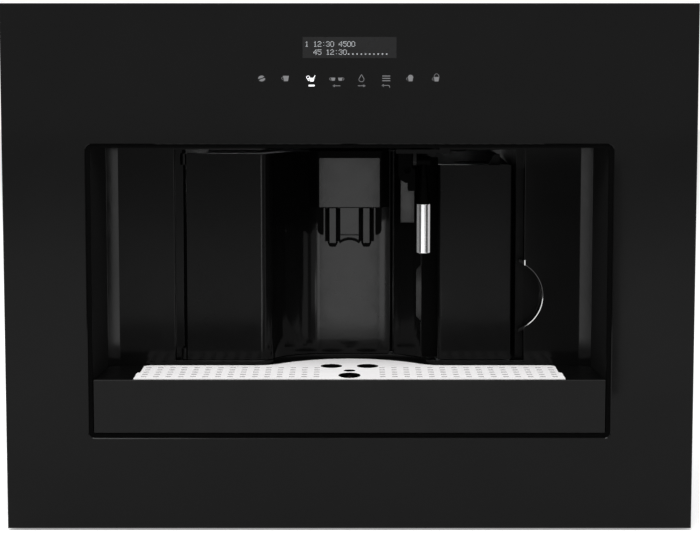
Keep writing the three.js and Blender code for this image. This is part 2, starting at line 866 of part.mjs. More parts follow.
function makeSpout() {
  const half = spoutWidth / 2;
  const faceHalf = spoutFaceWidth / 2;
  const railSlotHalf = railWidth / 4 + running;
  const plan = rounded([
    [-half, spoutBackY],
    [-half, spoutFrontY + 8, 3],
    [-faceHalf, spoutFrontY, 3],
    [faceHalf, spoutFrontY, 3],
    [half, spoutFrontY + 8, 3],
    [half, spoutBackY],
  ]);
  let housing = raise(plan, [spoutBottom, spoutTop]);
  const carriageHalf = carriageWidth / 2;
  housing = housing.add(carryBack(rounded([
    [-carriageHalf, spoutBottom + 1],
    [-carriageHalf, carriageBottom, 5],
    [carriageHalf, carriageBottom, 5],
    [carriageHalf, spoutBottom + 1],
  ]), [carriageFrontY, spoutBackY]));
  const railSlot = block(
    [-railSlotHalf, railSlotHalf],
    [spoutBackY - 6, spoutBackY + 1],
    [carriageBottom - 1, spoutTop + 1],
  );
  const plateRecess = block(
    [-faceHalf + 1 - seat, faceHalf - 1 + seat],
    [spoutFrontY - 1, spoutFrontY + 2],
    [spoutBottom - 1, spoutBottom + spoutFaceHeight + seat],
  );
  const blockRecess = block(
    [-nozzleBlockWidth / 2 - seat, nozzleBlockWidth / 2 + seat],
    [carriageFrontY - 8, carriageFrontY + 20],
    [carriageBottom - 1, spoutBottom - 1],
  );
  housing = housing.subtract(railSlot).subtract(plateRecess).subtract(blockRecess);
  piece('spout_housing', housing, blackGloss);

  piece('spout_face_plate', block(
    [-faceHalf + 1, faceHalf - 1],
    [spoutFrontY - 0.4, spoutFrontY + 2 - seat],
    [spoutBottom, spoutBottom + spoutFaceHeight],
  ), blackGloss);

  // nozzle block with an arch between its two nozzles
  const blockHalf = nozzleBlockWidth / 2;
  const archRadius = (archHalf ** 2 + archRise ** 2) / (2 * archRise);
  const archSteps = 6;
  const archAngle = Math.asin(archHalf / archRadius);
  const arch = [];
  for (let step = 0; step <= archSteps; step += 1) {
    const angle = -archAngle + (2 * archAngle * step) / archSteps;
    const z = nozzleBlockBottom + archRise - archRadius + archRadius * Math.cos(angle);
    arch.push([archRadius * Math.sin(angle), z]);
  }
  let nozzleBlock = carryBack(rounded([
    [-blockHalf, spoutBottom - 1 - seat],
    [-blockHalf, nozzleBlockBottom, 1.5],
    ...arch,
    [blockHalf, nozzleBlockBottom, 1.5],
    [blockHalf, spoutBottom - 1 - seat],
  ], 2), [nozzleBlockFrontY + 4, carriageFrontY + 20 - seat]);
  const nozzleY = nozzleBlockFrontY + nozzleRadius;
  const nozzleTop = spoutBottom - 1 - seat;
  const tipBottom = nozzleBlockBottom - nozzleTip;
  for (const side of [-1, 1]) {
    const x = side * nozzleSpread;
    const groove = block(
      [x - nozzleRadius - 2.4, x + nozzleRadius + 2.4],
      [nozzleY - nozzleRadius, nozzleY + 1],
      [nozzleBlockBottom - 1, nozzleTop + 1],
    );
    const nozzle = upright(x, nozzleY, [nozzleBlockBottom, nozzleTop], nozzleRadius, undefined, 16)
      .add(upright(x, nozzleY, [tipBottom, nozzleBlockBottom], nozzleRadius - 2, nozzleRadius, 16));
    const bore = upright(x, nozzleY, [tipBottom - 1, nozzleBlockBottom + 18], nozzleBore, undefined, 12);
    const beforeFlat = block(
      [x - nozzleRadius - 1, x + nozzleRadius + 1],
      [nozzleY - nozzleRadius - 1, nozzleY - nozzleFlat],
      [tipBottom - 1, nozzleTop + 1],
    );
    nozzleBlock = nozzleBlock.subtract(groove).add(nozzle.subtract(beforeFlat)).subtract(bore);
  }
  const stepLine = block(
    [1 + nozzleRadius + 2.4 - nozzleSpread, nozzleSpread - nozzleRadius - 2.4 - 1],
    [nozzleBlockFrontY, nozzleBlockFrontY + 4.5],
    [carriageBottom - 0.2, carriageBottom + 0.4],
  );
  piece('nozzle_block', nozzleBlock.subtract(stepLine), blackGloss);
}

// ---------------------------------------------------------------- fixed housing and steam wand

function makeNozzleHousing() {
  const span = [housingLeft, housingRight];
  const face = fascia.points(span[0], span[1]);
  const plan = rounded([...face, [span[1], housingBackY], [span[0], housingBackY]]);
  const insideFace = fascia.points(span[0] + housingWall, span[1] - housingWall, housingWall);
  const insidePlan = rounded([
    ...insideFace,
    [span[1] - housingWall, housingBackY + 1],
    [span[0] + housingWall, housingBackY + 1],
  ]);
  const heights = [doorBottom, doorTop];
  let housing = raise(plan, heights)
    .subtract(raise(insidePlan, [heights[0] + housingWall, heights[1] - housingWall]));

  // rear wall of the finger channel beside the tank
  housing = housing.add(block(
    [housingRight - 1, tankLeft - 2 * seat],
    [channelBack, channelBack + housingWall],
    heights,
  ));

  // bracket over the wand and its fork ear
  const bracketPlan = rounded([
    [housingLeft, bracketFrontY],
    [bracketRight, bracketFrontY],
    ...fascia.points(housingLeft, bracketRight, -running).reverse(),
  ]);
  housing = housing.add(raise(bracketPlan, [bracketBottom, bracketBottom + bracketHeight]));
  housing = housing.add(block(
    [bracketHookLeft, bracketRight],
    [bracketFrontY, fasciaDepth - running],
    [bracketBottom, bracketBottom + bracketHookHeight],
  ));
  housing = housing.add(block(
    [housingLeft, span[1]],
    [bracketFrontY, housingBackY],
    [bracketBottom, bayTop - headroom - seat],
  ));
  housing = housing.add(raise(plan, [doorTop - 1, bracketBottom + 1]));
  const earRight = wandX - wandTubeRadius - running;
  const pinHole = barAlongX([earRight - 8, earRight + 2], wandY, wandPivotZ, wandPinRadius + seat / 2);
  const ear = carryAcross(rounded([
    [wandY - 5, bracketBottom + 1],
    [wandY - 5, wandPivotZ - 5, 4.5],
    [wandY + 5, wandPivotZ - 5, 4.5],
    [wandY + 5, bracketBottom + 1],
  ]), [earRight - 3, earRight]);
  housing = housing.add(ear).subtract(pinHole);

  // stop behind the door's free edge
  const stopFront = fascia.depthAt(doorRight - stopReach, doorThickness) + running;
  housing = housing.add(block(
    [doorRight - stopReach, housingLeft + 1],
    [stopFront, stopFront + housingWall],
    heights,
  ));

  // finger scoop beside the tank
  const scoopX = housingRight - leftScoopReach + leftScoopRadius;
  const scoopBack = fasciaDepth + scoopDepth + 4;
  const keep = block(span, [0, housingBackY], heights);
  const cupWall = barAlongY(
    scoopX, [fasciaDepth + 1, scoopBack + housingWall], scoopCentreZ, leftScoopRadius + housingWall, 40,
  ).intersect(keep);
  const cupHollow = barAlongY(
    scoopX, [fasciaDepth - 5, scoopBack], scoopCentreZ, leftScoopRadius, 40,
  ).intersect(block([span[0], span[1] + 1], [0, housingBackY], heights));
  const facePlan = raise(plan, heights);
  housing = housing.add(cupWall.intersect(facePlan)).subtract(cupHollow);
  piece('nozzle_housing', housing, blackGloss);
}

/** The steam and water connector in front of the housing, with its sliding cover plate below. */
function makeConnector() {
  const backY = fascia.depthAt(connectorRight) - running;
  const spigot = [connectorLeft + 8.8, connectorLeft + 15];
  const earLeft = wandX - wandTubeRadius - running - 3 - running;
  let connector = carryBack(rounded([
    [connectorLeft, bracketBottom - seat],
    [connectorLeft, connectorBottom + 4, 5],
    [connectorLeft + 6, connectorBottom, 3],
    [spigot[0], connectorBottom],
    [spigot[0], connectorBottom - connectorSpigot],
    [spigot[1], connectorBottom - connectorSpigot],
    [spigot[1], connectorBottom],
    [connectorRight - 2, connectorBottom],
    [connectorRight - 2, wandPivotZ - 8],
    [earLeft, wandPivotZ - 6],
    [earLeft, bracketBottom - seat],
  ], 3), [connectorFrontY, connectorBackY]);
  connector = connector.add(block(
    [connectorLeft + 2, earLeft],
    [connectorBackY - 1, backY],
    [connectorNeckBottom, bracketBottom - seat],
  ));
  connector = connector.subtract(barAlongY(
    connectorLeft + 8, [connectorFrontY - 1, connectorFrontY + 6], 309, 3, 16,
  ));
  piece('steam_connector', connector, blackSatin);

  const plateBack = fascia.depthAt(platePlaceLeft + plateWidth) - running;
  const plateTop = connectorNeckBottom - seat;
  piece('connector_cover', carryAcross(rounded([
    [plateFrontY, plateBottom, 1],
    [plateBack, plateBottom],
    [plateBack, plateTop],
    [plateFrontY, plateTop, 1],
  ], 2), [platePlaceLeft, platePlaceLeft + plateWidth]), blackGloss);
}

function makeWand() {
  const knuckleHalf = wandTubeRadius;
  let knuckle = barAlongX([wandX - knuckleHalf, wandX + knuckleHalf], wandY, wandPivotZ, wandKnuckleRadius)
    .add(upright(wandX, wandY, [wandConeBottom + 26, wandPivotZ - 2], wandNeckRadius + 1, undefined, 16))
    .add(upright(wandX, wandY, [wandConeBottom, wandConeBottom + 26.5], wandTubeRadius, wandNeckRadius + 1.6))
    .subtract(barAlongX([wandX - 20, wandX + 20], wandY, wandPivotZ, wandPinRadius + seat / 2));
  const flutes = 6;
  for (let flute = 0; flute < flutes; flute += 1) {
    const angle = (flute * 2 * Math.PI) / flutes;
    const reach = wandTubeRadius + 0.4;
    knuckle = knuckle.subtract(upright(
      wandX + reach * Math.cos(angle),
      wandY + reach * Math.sin(angle),
      [wandConeBottom + 3, wandConeBottom + 30],
      1.1, undefined, 8,
    ));
  }
  piece('wand_holder', knuckle, blackSatin);

  const tube = upright(wandX, wandY, [wandTubeBottom, wandConeBottom - seat], wandTubeRadius, undefined, 32)
    .subtract(upright(wandX, wandY, [wandTubeBottom - 1, wandTubeBottom + 20], wandBore, undefined, 12));
  piece('steam_wand', tube, chromeSteel);

  const earRight = wandX - wandTubeRadius - running;
  piece('wand_pivot_pin', barAlongX(
    [earRight - 3, wandX + knuckleHalf], wandY, wandPivotZ, wandPinRadius,
  ), zincSteel);
}

// ---------------------------------------------------------------- water tank

const tankBodyFrontY = fasciaDepth + tankFrontThickness + seat;
const tankBackY = fasciaDepth + tankLength;
const tankSides = [tankLeft + tankSideInset, tankRight - tankSideInset];

function makeWaterTank() {
  const bodyTopZ = tankTop - tankLidThickness - seat;
  const sides = tankSides;
  const depths = [tankBodyFrontY, tankBackY];
  const box = raise(rounded(rectangle(sides, depths, 4), 3), [tankBottom, bodyTopZ]);
  const inside = raise(rounded(rectangle(
    [sides[0] + tankWall, sides[1] - tankWall],
    [depths[0] + tankWall, depths[1] - tankWall],
    2,
  ), 3), [tankBottom + tankWall, bodyTopZ + 1]);
  const port = barAlongY(tankMiddle, [tankBackY - 5, tankBackY + 1], valveZ, valveRadius + seat, 16);
  piece('water_tank', box.subtract(inside).subtract(port), smokedPlastic);

  // outlet valve: a tube through the tank's rear wall, held by a collar inside
  const collarFront = tankBackY - tankWall - seat - valveWall;
  const outletEnd = tankBackY + valveLength;
  const valve = barAlongY(tankMiddle, [collarFront + 1, outletEnd], valveZ, valveRadius, 16)
    .add(barAlongY(tankMiddle, [collarFront, collarFront + valveWall], valveZ, valveRadius + 2, 16))
    .subtract(barAlongY(tankMiddle, [collarFront - 1, outletEnd + 1], valveZ, valveRadius - valveWall, 12));
  piece('tank_valve', valve, greyPlastic);

  const frontPlan = rounded([
    [tankLeft, tankBodyFrontY - seat],
    [tankLeft, fasciaDepth, 4],
    [tankRight, fasciaDepth, 1.5],
    [tankRight, tankBodyFrontY - seat],
  ], 6);
  piece('tank_front', raise(frontPlan, [doorBottom + 0.6, tankTop]), blackGloss);

  const lid = block(sides, depths, [bodyTopZ + seat, tankTop]);
  const tab = carryBack(rounded([
    [tabLeft, tankTop - 1],
    [tabRight, tankTop - 1],
    [tabRight, tankTop + tabHeight, 0.8],
    [tabLeft + tabSlope, tankTop + tabHeight, 1.5],
  ], 3), [tankBodyFrontY, tankBodyFrontY + 5]);
  const rim = block(
    [sides[0] + tankWall + 1, sides[1] - tankWall - 1],
    [depths[0] + tankWall + 1, depths[1] - tankWall - 1],
    [bodyTopZ - 3, tankTop - 1],
  ).subtract(block(
    [sides[0] + tankWall + 2.6, sides[1] - tankWall - 2.6],
    [depths[0] + tankWall + 2.6, depths[1] - tankWall - 2.6],
    [bodyTopZ - 4, tankTop - 2],
  ));
  const fillHole = raise(rounded(rectangle(
    [tankMiddle - fillLength / 2, tankMiddle + fillLength / 2],
    [fillFrontY, fillFrontY + fillWidth],
    fillWidth / 2 - 0.1,
  ), 4), [bodyTopZ - 5, tankTop + 1]);
  piece('tank_lid', lid.add(tab).add(rim).subtract(fillHole), blackSatin);
}

const tankMiddle = (tankLeft + tankRight) / 2;
const valveZ = tankBottom + 18;

function makeTankCradle() {
  const floor = [deckTop + seat, deckTop + seat + cradleFloor];
  const innerX = [tankSides[0] - seat, tankSides[1] + seat];
  const outerX = [innerX[0] - cradleSide, innerX[1] + cradleSide];
  const rearY = tankBackY + running;
  const frontY = tankBodyFrontY + 6;
  let cradle = block(outerX, [frontY, rearY + valveLength + socketRoom + 8], floor);
  for (const x of [[outerX[0], innerX[0]], [innerX[1], outerX[1]]]) {
    cradle = cradle.add(block(x, [frontY, rearY + 1], [floor[0], floor[1] + cradleRim]));
  }
  const socketEnd = rearY + valveLength + socketRoom;
  cradle = cradle.add(block(outerX, [rearY, socketEnd + 2], [floor[0], valveZ + valveRadius + 8]));
  const socketRadius = valveRadius + seat;
  cradle = cradle
    .subtract(barAlongY(tankMiddle, [rearY - 1, socketEnd], valveZ, socketRadius))
    .add(barAlongY(tankMiddle, [socketEnd + 1.5, socketEnd + 11], valveZ, 4, 16));
  piece('tank_cradle', cradle, greyPlastic);
}

// ---------------------------------------------------------------- body

function makeChassis() {
  const half = bodyHalf - sheet - seat;
  const front = frameBackY + seat;
  const back = innerBackY;
  const lipTop = chassisFloor + baseLip;
  const pan = block([-half, half], [front, back], [chassisBottom, lipTop])
    .subtract(block([-half + sheet, half - sheet], [front + sheet, back - sheet], [chassisFloor, lipTop + 1]));
  piece('chassis_base', pan, zincSteel);

  const uprights = [chassisFloor + seat, upperDeckBottom - seat];
  for (const [name, side] of [['bulkhead_left', -1], ['bulkhead_right', 1]]) {
    const middle = side * bulkheadX;
    const wall = block(
      [middle - bulkheadThickness / 2, middle + bulkheadThickness / 2],
      [innerFrontY, back - sheet - seat],
      uprights,
    );
    piece(name, wall, zincSteel);
  }
  piece('lower_deck', block(
    [-bulkheadInner + seat, bulkheadInner - seat],
    [hollowDepth + linerWall + 3, back - sheet - seat],
    [deckTop - deckThickness, deckTop],
  ), zincSteel);
  piece('partition', block(
    [partitionX - 1, partitionX + 1],
    [housingBackY + seat, back - sheet - seat],
    [deckTop + seat, upperDeckBottom - seat],
  ), zincSteel);
  piece('upper_deck', block(
    [-half + sheet + seat, half - sheet - seat],
    [chuteY + chuteNeckLength / 2 + chuteFlange + seat, back],
    [upperDeckBottom, upperDeckTop],
  ), zincSteel);
}

function makeCovers() {
  const front = frameBackY + seat;
  const top = bodyTop;
  const lidBottom = top - sheet;
  const sideTop = lidBottom - seat;
  for (const [name, side] of [['side_cover_left', -1], ['side_cover_right', 1]]) {
    const profile = [
      [side * bodyHalf, chassisBottom],
      [side * bodyHalf, sideTop],
      [side * (bodyHalf - flange), sideTop],
      [side * (bodyHalf - flange), sideTop - sheet],
      [side * (bodyHalf - sheet), sideTop - sheet],
      [side * (bodyHalf - sheet), chassisBottom],
    ];
    piece(name, carryBack(rounded(profile), [front, innerBackY]), zincSteel);
  }

  let cover = block([-bodyHalf, bodyHalf], [front, innerBackY], [lidBottom, top]);
  cover = cover
    .subtract(block(hopperOpening.x, hopperOpening.y, [lidBottom - 1, top + 1]))
    .subtract(block(chuteOpening.x, chuteOpening.y, [lidBottom - 1, top + 1]))
    .subtract(upright(knobX, hopperY, [lidBottom - 1, top + 1], knobSocketRadius + seat));
  piece('top_cover', cover, zincSteel);

  let rear = block([-bodyHalf, bodyHalf], [bodyBackY - sheet, bodyBackY], [chassisBottom, top]);
  const louvreCount = 9;
  const louvreLength = 90;
  for (const x of [-160, 40]) {
    for (let louvre = 0; louvre < louvreCount; louvre += 1) {
      const z = 250 + louvre * 14;
      rear = rear.subtract(block([x, x + louvreLength], [bodyBackY - 5, bodyBackY + 1], [z, z + 4]));
    }
  }
  rear = rear
    .subtract(block(inletOpening.x, [bodyBackY - 5, bodyBackY + 1], inletOpening.z))
    .subtract(block(switchOpening.x, [bodyBackY - 5, bodyBackY + 1], switchOpening.z));
  piece('rear_cover', rear, zincSteel);
}

// ---------------------------------------------------------------- runners

function makeRunners() {
  const floorZ = -panelLift;
  const backY = runnerFrontY + runnerLength;
  for (const [hand, side] of [['left', -1], ['right', 1]]) {
    const x = side * runnerX;
    const outer = runnerWidth / 2;
    const channel = (half, z0, z1, [y0, y1]) => (
      block([x - half, x + half], [y0, y1], [z0, z1])
        .subtract(block([x - half + runnerSheet, x + half - runnerSheet], [y0 - 1, y1 + 1], [z0 + runnerSheet, z1 + 1]))
    );
    const cabinetTop = floorZ + runnerHeight * 0.72;
    piece(`cabinet_rail_${hand}`, channel(outer, floorZ, cabinetTop, [runnerFrontY, backY]), zincSteel);

    const middleHalf = outer - runnerSheet - 0.5;
    const middleBottom = floorZ + runnerSheet + seat;
    const middleTop = floorZ + runnerHeight * 0.82;
    piece(`middle_rail_${hand}`, channel(middleHalf, middleBottom, middleTop, [runnerFrontY + 6, backY - 6]), zincSteel);

    const innerHalf = middleHalf - runnerSheet - 0.5;
    const innerBottom = middleBottom + runnerSheet + seat;
    const innerTop = floorZ + runnerHeight;
    const web = block([x - innerHalf, x + innerHalf], [runnerFrontY, backY], [innerBottom, innerTop])
      .subtract(block(
        [x - innerHalf + runnerSheet, x + innerHalf - runnerSheet],
        [runnerFrontY - 1, backY + 1],
        [innerBottom - 1, innerTop - runnerSheet],
      ));
    const top = block([x - outer, x + outer], [runnerFrontY, backY], [innerTop - runnerSheet, innerTop]);
    piece(`machine_rail_${hand}`, web.add(top), zincSteel);
  }
}

// ---------------------------------------------------------------- brewing and grinding

function makeBrewUnit() {
  const bottom = deckTop + seat;
  const xs = [brewX - brewWidth / 2, brewX + brewWidth / 2];
  const ys = [brewY - brewLength / 2, brewY + brewLength / 2];
  const barrelY = ys[0] + brewBarrelRadius + 4;
  const barrelTop = brewBarrelTop;
  let unit = carryAcross(rounded([
    [ys[0], bottom, 3],
    [ys[1], bottom, 3],
    [ys[1], bottom + brewHeight + 30, 12],
    [ys[1] - 40, bottom + brewHeight + 30, 6],
    [barrelY + brewBarrelRadius, bottom + brewHeight],
    [ys[0], bottom + brewHeight, 8],
  ]), xs);
  unit = unit.add(upright(brewX, barrelY, [bottom + 20, barrelTop], brewBarrelRadius, undefined, 24));
  unit = unit.add(upright(brewX, barrelY, [barrelTop - 8, barrelTop], brewBarrelRadius + 4, undefined, 24));
  unit = unit.subtract(upright(brewX, barrelY, [bottom + brewHeight - 26, barrelTop + 1], brewBoreRadius, undefined, 24));
  const ribGap = 16;
  for (let rib = 0; rib < 4; rib += 1) {
    const y = ys[0] + 58 + rib * ribGap;
    unit = unit.add(block([xs[0] - 2, xs[1] + 2], [y, y + 2], [bottom + 6, bottom + brewHeight - 6]));
  }
  piece('brew_unit', unit, greyPlastic);

  const pistonBottom = bottom + brewHeight - 26 + seat;
  const piston = upright(brewX, barrelY, [pistonBottom, pistonBottom + pistonHeight], brewBoreRadius - seat, undefined, 24)
    .subtract(upright(brewX, barrelY, [pistonBottom + pistonHeight - 3, pistonBottom + pistonHeight + 1], brewBoreRadius - 3));
  piece('brew_piston', piston, ceramicWhite);
}

function makeGroundsContainer() {
  const x1 = brewX - brewWidth / 2 - 6;
  const x0 = x1 - groundsWidth;
  const y0 = fascia.depthAt(brewX - brewWidth / 2, doorThickness) + 8;
  const z0 = deckTop + seat;
  const middle = [(x0 + x1) / 2, y0 + groundsLength / 2];
  const heights = [z0, z0 + groundsHeight];
  const outer = taperedBox(
    ...middle, heights, [groundsWidth - 8, groundsLength - 8], [groundsWidth, groundsLength],
  );
  const inner = taperedBox(
    ...middle, [heights[0] + groundsWall, heights[1] + 1],
    [groundsWidth - 8 - 2 * groundsWall, groundsLength - 8 - 2 * groundsWall],
    [groundsWidth - 2 * groundsWall, groundsLength - 2 * groundsWall],
  );
  const grip = block([x0 + 16, x1 - 16], [y0 - 6, y0 + 1.5], [heights[1] - 6, heights[1] - 3]);
  piece('grounds_container', outer.add(grip).subtract(inner), blackSatin);
}

const hopperHalf = hopperWidth / 2;
const hopperHalfLength = hopperLength / 2;
const hopperOpening = {
  x: [hopperX - hopperHalf - seat, hopperX + hopperHalf + seat],
  y: [hopperY - hopperHalfLength - seat, hopperY + hopperHalfLength + seat],
};
const chuteOpening = {
  x: [chuteX - chuteWidth / 2 - seat, chuteX + chuteWidth / 2 + seat],
  y: [chuteY - chuteLength / 2 - seat, chuteY + chuteLength / 2 + seat],
};
const knobSocketRadius = 5;
const rimWidth = 5;
const rimBottom = bodyTop + seat;
const rimTop = rimBottom + 1.6;
const lidBottomZ = rimTop + seat;
const lidPinZ = lidBottomZ + lidThickness - 0.2;

/** A lid over a rectangular opening, hinged along its rear edge on its own trunnions. */
function hingedLid(x, [x0, x1], [y0, y1], pinY) {
  const span = [x0 + earWidth, x1 - earWidth];
  const grip = block(
    [x - 12, x + 12],
    [y0 - 4, y0 + 1],
    [lidBottomZ + 0.4, lidBottomZ + lidThickness - 0.4],
  );
  return block([x0, x1], [y0, y1], [lidBottomZ, lidBottomZ + lidThickness])
    .add(grip)
    .add(block(span, [y1 - 1, pinY], [lidPinZ - lidPinRadius - 1, lidPinZ]))
    .add(barAlongX(span, pinY, lidPinZ, lidPinRadius + 1, 12))
    .add(barAlongX([x0 + 1, x1 - 1], pinY, lidPinZ, lidPinRadius, 12));
}

/** Ears on a rim that hold the ends of a lid's trunnions. */
function trunnionEars([x0, x1], pinY) {
  const ears = [[x0 + 1, x0 + earWidth - seat], [x1 - earWidth + seat, x1 - 1]];
  let both = null;
  for (const span of ears) {
    const ear = carryAcross(rounded([
      [pinY - 3, rimTop - 0.5],
      [pinY + 3, rimTop - 0.5],
      [pinY + 3, lidPinZ + 2.2, 2],
      [pinY - 1.8, lidPinZ + 2.2, 1.5],
    ], 2), span);
    both = both ? both.add(ear) : ear;
  }
  return both.subtract(barAlongX([x0 - 1, x1 + 1], pinY, lidPinZ, lidPinRadius + seat / 2, 12));
}

function makeHopper() {
  const neckBottom = grinderTop + seat;
  const slopeBottom = neckBottom + 6;
  const wellBottom = rimTop - hopperWellDepth;
  const neckSide = hopperNeckRadius * 2;
  const outside = block(
    [hopperX - hopperHalf, hopperX + hopperHalf],
    [hopperY - hopperHalfLength, hopperY + hopperHalfLength],
    [wellBottom, rimTop],
  )
    .add(taperedBox(hopperX, hopperY, [slopeBottom, wellBottom + 0.01], [neckSide, neckSide], [hopperWidth, hopperLength]))
    .add(upright(hopperX, hopperY, [neckBottom, slopeBottom + 5], hopperNeckRadius));
  const wall = hopperWall;
  const inside = block(
    [hopperX - hopperHalf + wall, hopperX + hopperHalf - wall],
    [hopperY - hopperHalfLength + wall, hopperY + hopperHalfLength - wall],
    [wellBottom, rimTop + 1],
  )
    .add(taperedBox(
      hopperX, hopperY, [slopeBottom + wall, wellBottom + 0.01],
      [neckSide - 3 * wall, neckSide - 3 * wall], [hopperWidth - 2 * wall, hopperLength - 2 * wall],
    ))
    .add(upright(hopperX, hopperY, [neckBottom - 1, slopeBottom + 5], hopperNeckRadius - wall - 3));
  const rimX = [hopperX - hopperHalf - rimWidth, knobX + knobRadius + 4];
  const rimY = [hopperY - hopperHalfLength - rimWidth, hopperY + hopperHalfLength + rimWidth + 6];
  const rim = block(rimX, rimY, [rimBottom, rimTop]);
  const knobHole = upright(knobX, hopperY, [rimBottom - 20, rimTop + 1], knobSocketRadius - wall + 0.6, undefined, 16);
  const socket = upright(knobX, hopperY, [rimBottom - 14, rimBottom + 1], knobSocketRadius, undefined, 16);
  const pinY = hopperY + hopperHalfLength + rimWidth + 2;
  const lidX = [hopperX - hopperHalf - 1, hopperX + hopperHalf + 1];
  const lidY = [hopperY - hopperHalfLength - 2, hopperY + hopperHalfLength + 2];
  const hopper = outside.add(rim).add(socket).add(trunnionEars(lidX, pinY)).subtract(inside).subtract(knobHole);
  piece('bean_hopper', hopper, smokedPlastic);
  piece('hopper_lid', hingedLid(hopperX, lidX, lidY, pinY), smokedPlastic);

  const skirt = upright(knobX, hopperY, [rimTop + seat, rimTop + seat + 3.6], knobRadius, knobRadius - 1, 28);
  const stem = upright(knobX, hopperY, [rimBottom - 12, rimTop + 2], knobSocketRadius - wall + 0.6 - seat, undefined, 16);
  let knob = skirt.add(stem);
  const grips = 12;
  for (let grip = 0; grip < grips; grip += 1) {
    const angle = (grip * 2 * Math.PI) / grips;
    knob = knob.subtract(upright(
      knobX + (knobRadius + 0.5) * Math.cos(angle),
      hopperY + (knobRadius + 0.5) * Math.sin(angle),
      [rimTop, rimTop + 6], 1.4, undefined, 8,
    ));
  }
  const pointer = block([knobX - 0.8, knobX + 0.8], [hopperY - knobRadius + 3, hopperY], [rimTop + 3, rimTop + seat + 4.2]);
  piece('grind_knob', knob.add(pointer), blackSatin);
}

function makeGrinder() {
  const bottom = upperDeckTop + seat;
  const burrBottom = grinderTop - burrHeight - 2;
  const motorY = hopperY - grinderRadius - motorRadius + 12;
  let body = upright(hopperX, hopperY, [bottom, grinderTop], grinderRadius, undefined, 28)
    .add(upright(hopperX, motorY, [bottom, grinderTop - 8], motorRadius, undefined, 16))
    .add(upright(hopperX, hopperY, [bottom, bottom + 5], grinderRadius + 5, undefined, 28));
  body = body.subtract(upright(hopperX, hopperY, [burrBottom - 4, grinderTop + 1], burrRadius + 1.5, undefined, 28));
  body = body.subtract(upright(hopperX, hopperY, [bottom + 8, burrBottom], 3 + seat, undefined, 12));
  piece('grinder', body, castAluminium);

  const plan = [];
  for (let tooth = 0; tooth < burrTeeth * 2; tooth += 1) {
    const radius = tooth % 2 ? burrRadius : burrRadius - 2.5;
    const angle = (tooth * Math.PI) / burrTeeth;
    plan.push([hopperX + radius * Math.cos(angle), hopperY + radius * Math.sin(angle)]);
  }
  const burr = raise(rounded(plan), [burrBottom, burrBottom + burrHeight])
    .subtract(upright(hopperX, hopperY, [burrBottom + 5, burrBottom + burrHeight + 1], 8, burrRadius - 4))
    .add(upright(hopperX, hopperY, [bottom + 8 + seat, burrBottom + 2], 3, undefined, 12));
  piece('grinder_burr', burr, burrSteel);
}

function makeGroundCoffeeChute() {
  const bottom = upperDeckTop + seat;
  const slopeTop = bottom + chuteSlope;
  const half = chuteWidth / 2;
  const halfLength = chuteLength / 2;
  const neck = [chuteNeckWidth, chuteNeckLength];
  const mouth = [chuteWidth, chuteLength];
  const flangeSize = [chuteNeckWidth + 2 * chuteFlange, chuteNeckLength + 2 * chuteFlange];
  const thinner = (size) => size.map((width) => width - 2 * chuteWall);
  const neckHeights = [brewBarrelTop + running, bottom + 4];
  const outside = block([chuteX - half, chuteX + half], [chuteY - halfLength, chuteY + halfLength], [slopeTop, rimTop])
    .add(taperedBox(chuteX, chuteY, [bottom, slopeTop + 0.01], flangeSize, mouth))
    .add(taperedBox(chuteX, chuteY, neckHeights, neck, neck));
  const inside = block(
    [chuteX - half + chuteWall, chuteX + half - chuteWall],
    [chuteY - halfLength + chuteWall, chuteY + halfLength - chuteWall],
    [slopeTop, rimTop + 1],
  )
    .add(taperedBox(chuteX, chuteY, [bottom + 3, slopeTop + 0.01], thinner(neck), thinner(mouth)))
    .add(taperedBox(chuteX, chuteY, [neckHeights[0] - 1, bottom + 3.5], thinner(neck), thinner(neck)));
  const rim = block(
    [chuteX - half - rimWidth, chuteX + half + rimWidth],
    [chuteY - halfLength - rimWidth, chuteY + halfLength + rimWidth + 6],
    [rimBottom, rimTop],
  );
  const pinY = chuteY + halfLength + rimWidth + 2;
  const lidX = [chuteX - half - 1, chuteX + half + 1];
  const lidY = [chuteY - halfLength - 2, chuteY + halfLength + 2];
  piece('ground_coffee_chute', outside.add(rim).add(trunnionEars(lidX, pinY)).subtract(inside), blackSatin);
  piece('chute_lid', hingedLid(chuteX, lidX, lidY, pinY), blackSatin);
}

// ---------------------------------------------------------------- water and power

function makeBoiler() {
  const bottom = chassisFloor + seat;
  const profile = [
    [0, 0], [boilerRadius + 6, 0], [boilerRadius + 6, 5], [boilerRadius, 5],
    [boilerRadius, boilerHeight - 20], [boilerRadius + 5, boilerHeight - 20],
    [boilerRadius + 5, boilerHeight - 12], [boilerRadius - 6, boilerHeight - 4],
    [12, boilerHeight], [0, boilerHeight],
  ].map(([radius, height]) => new THREE.Vector2(radius, height));
  const shell = new THREE.LatheGeometry(profile, 16);
  let boiler = solid(shell.rotateX(Math.PI / 2).translate(boilerX, boilerY, bottom));
  for (const x of [-14, 0, 14]) {
    boiler = boiler.add(upright(boilerX + x, boilerY, [bottom + boilerHeight - 5, bottom + boilerHeight + 12], 4, undefined, 12));
  }
  piece('boiler', boiler, brass);
}

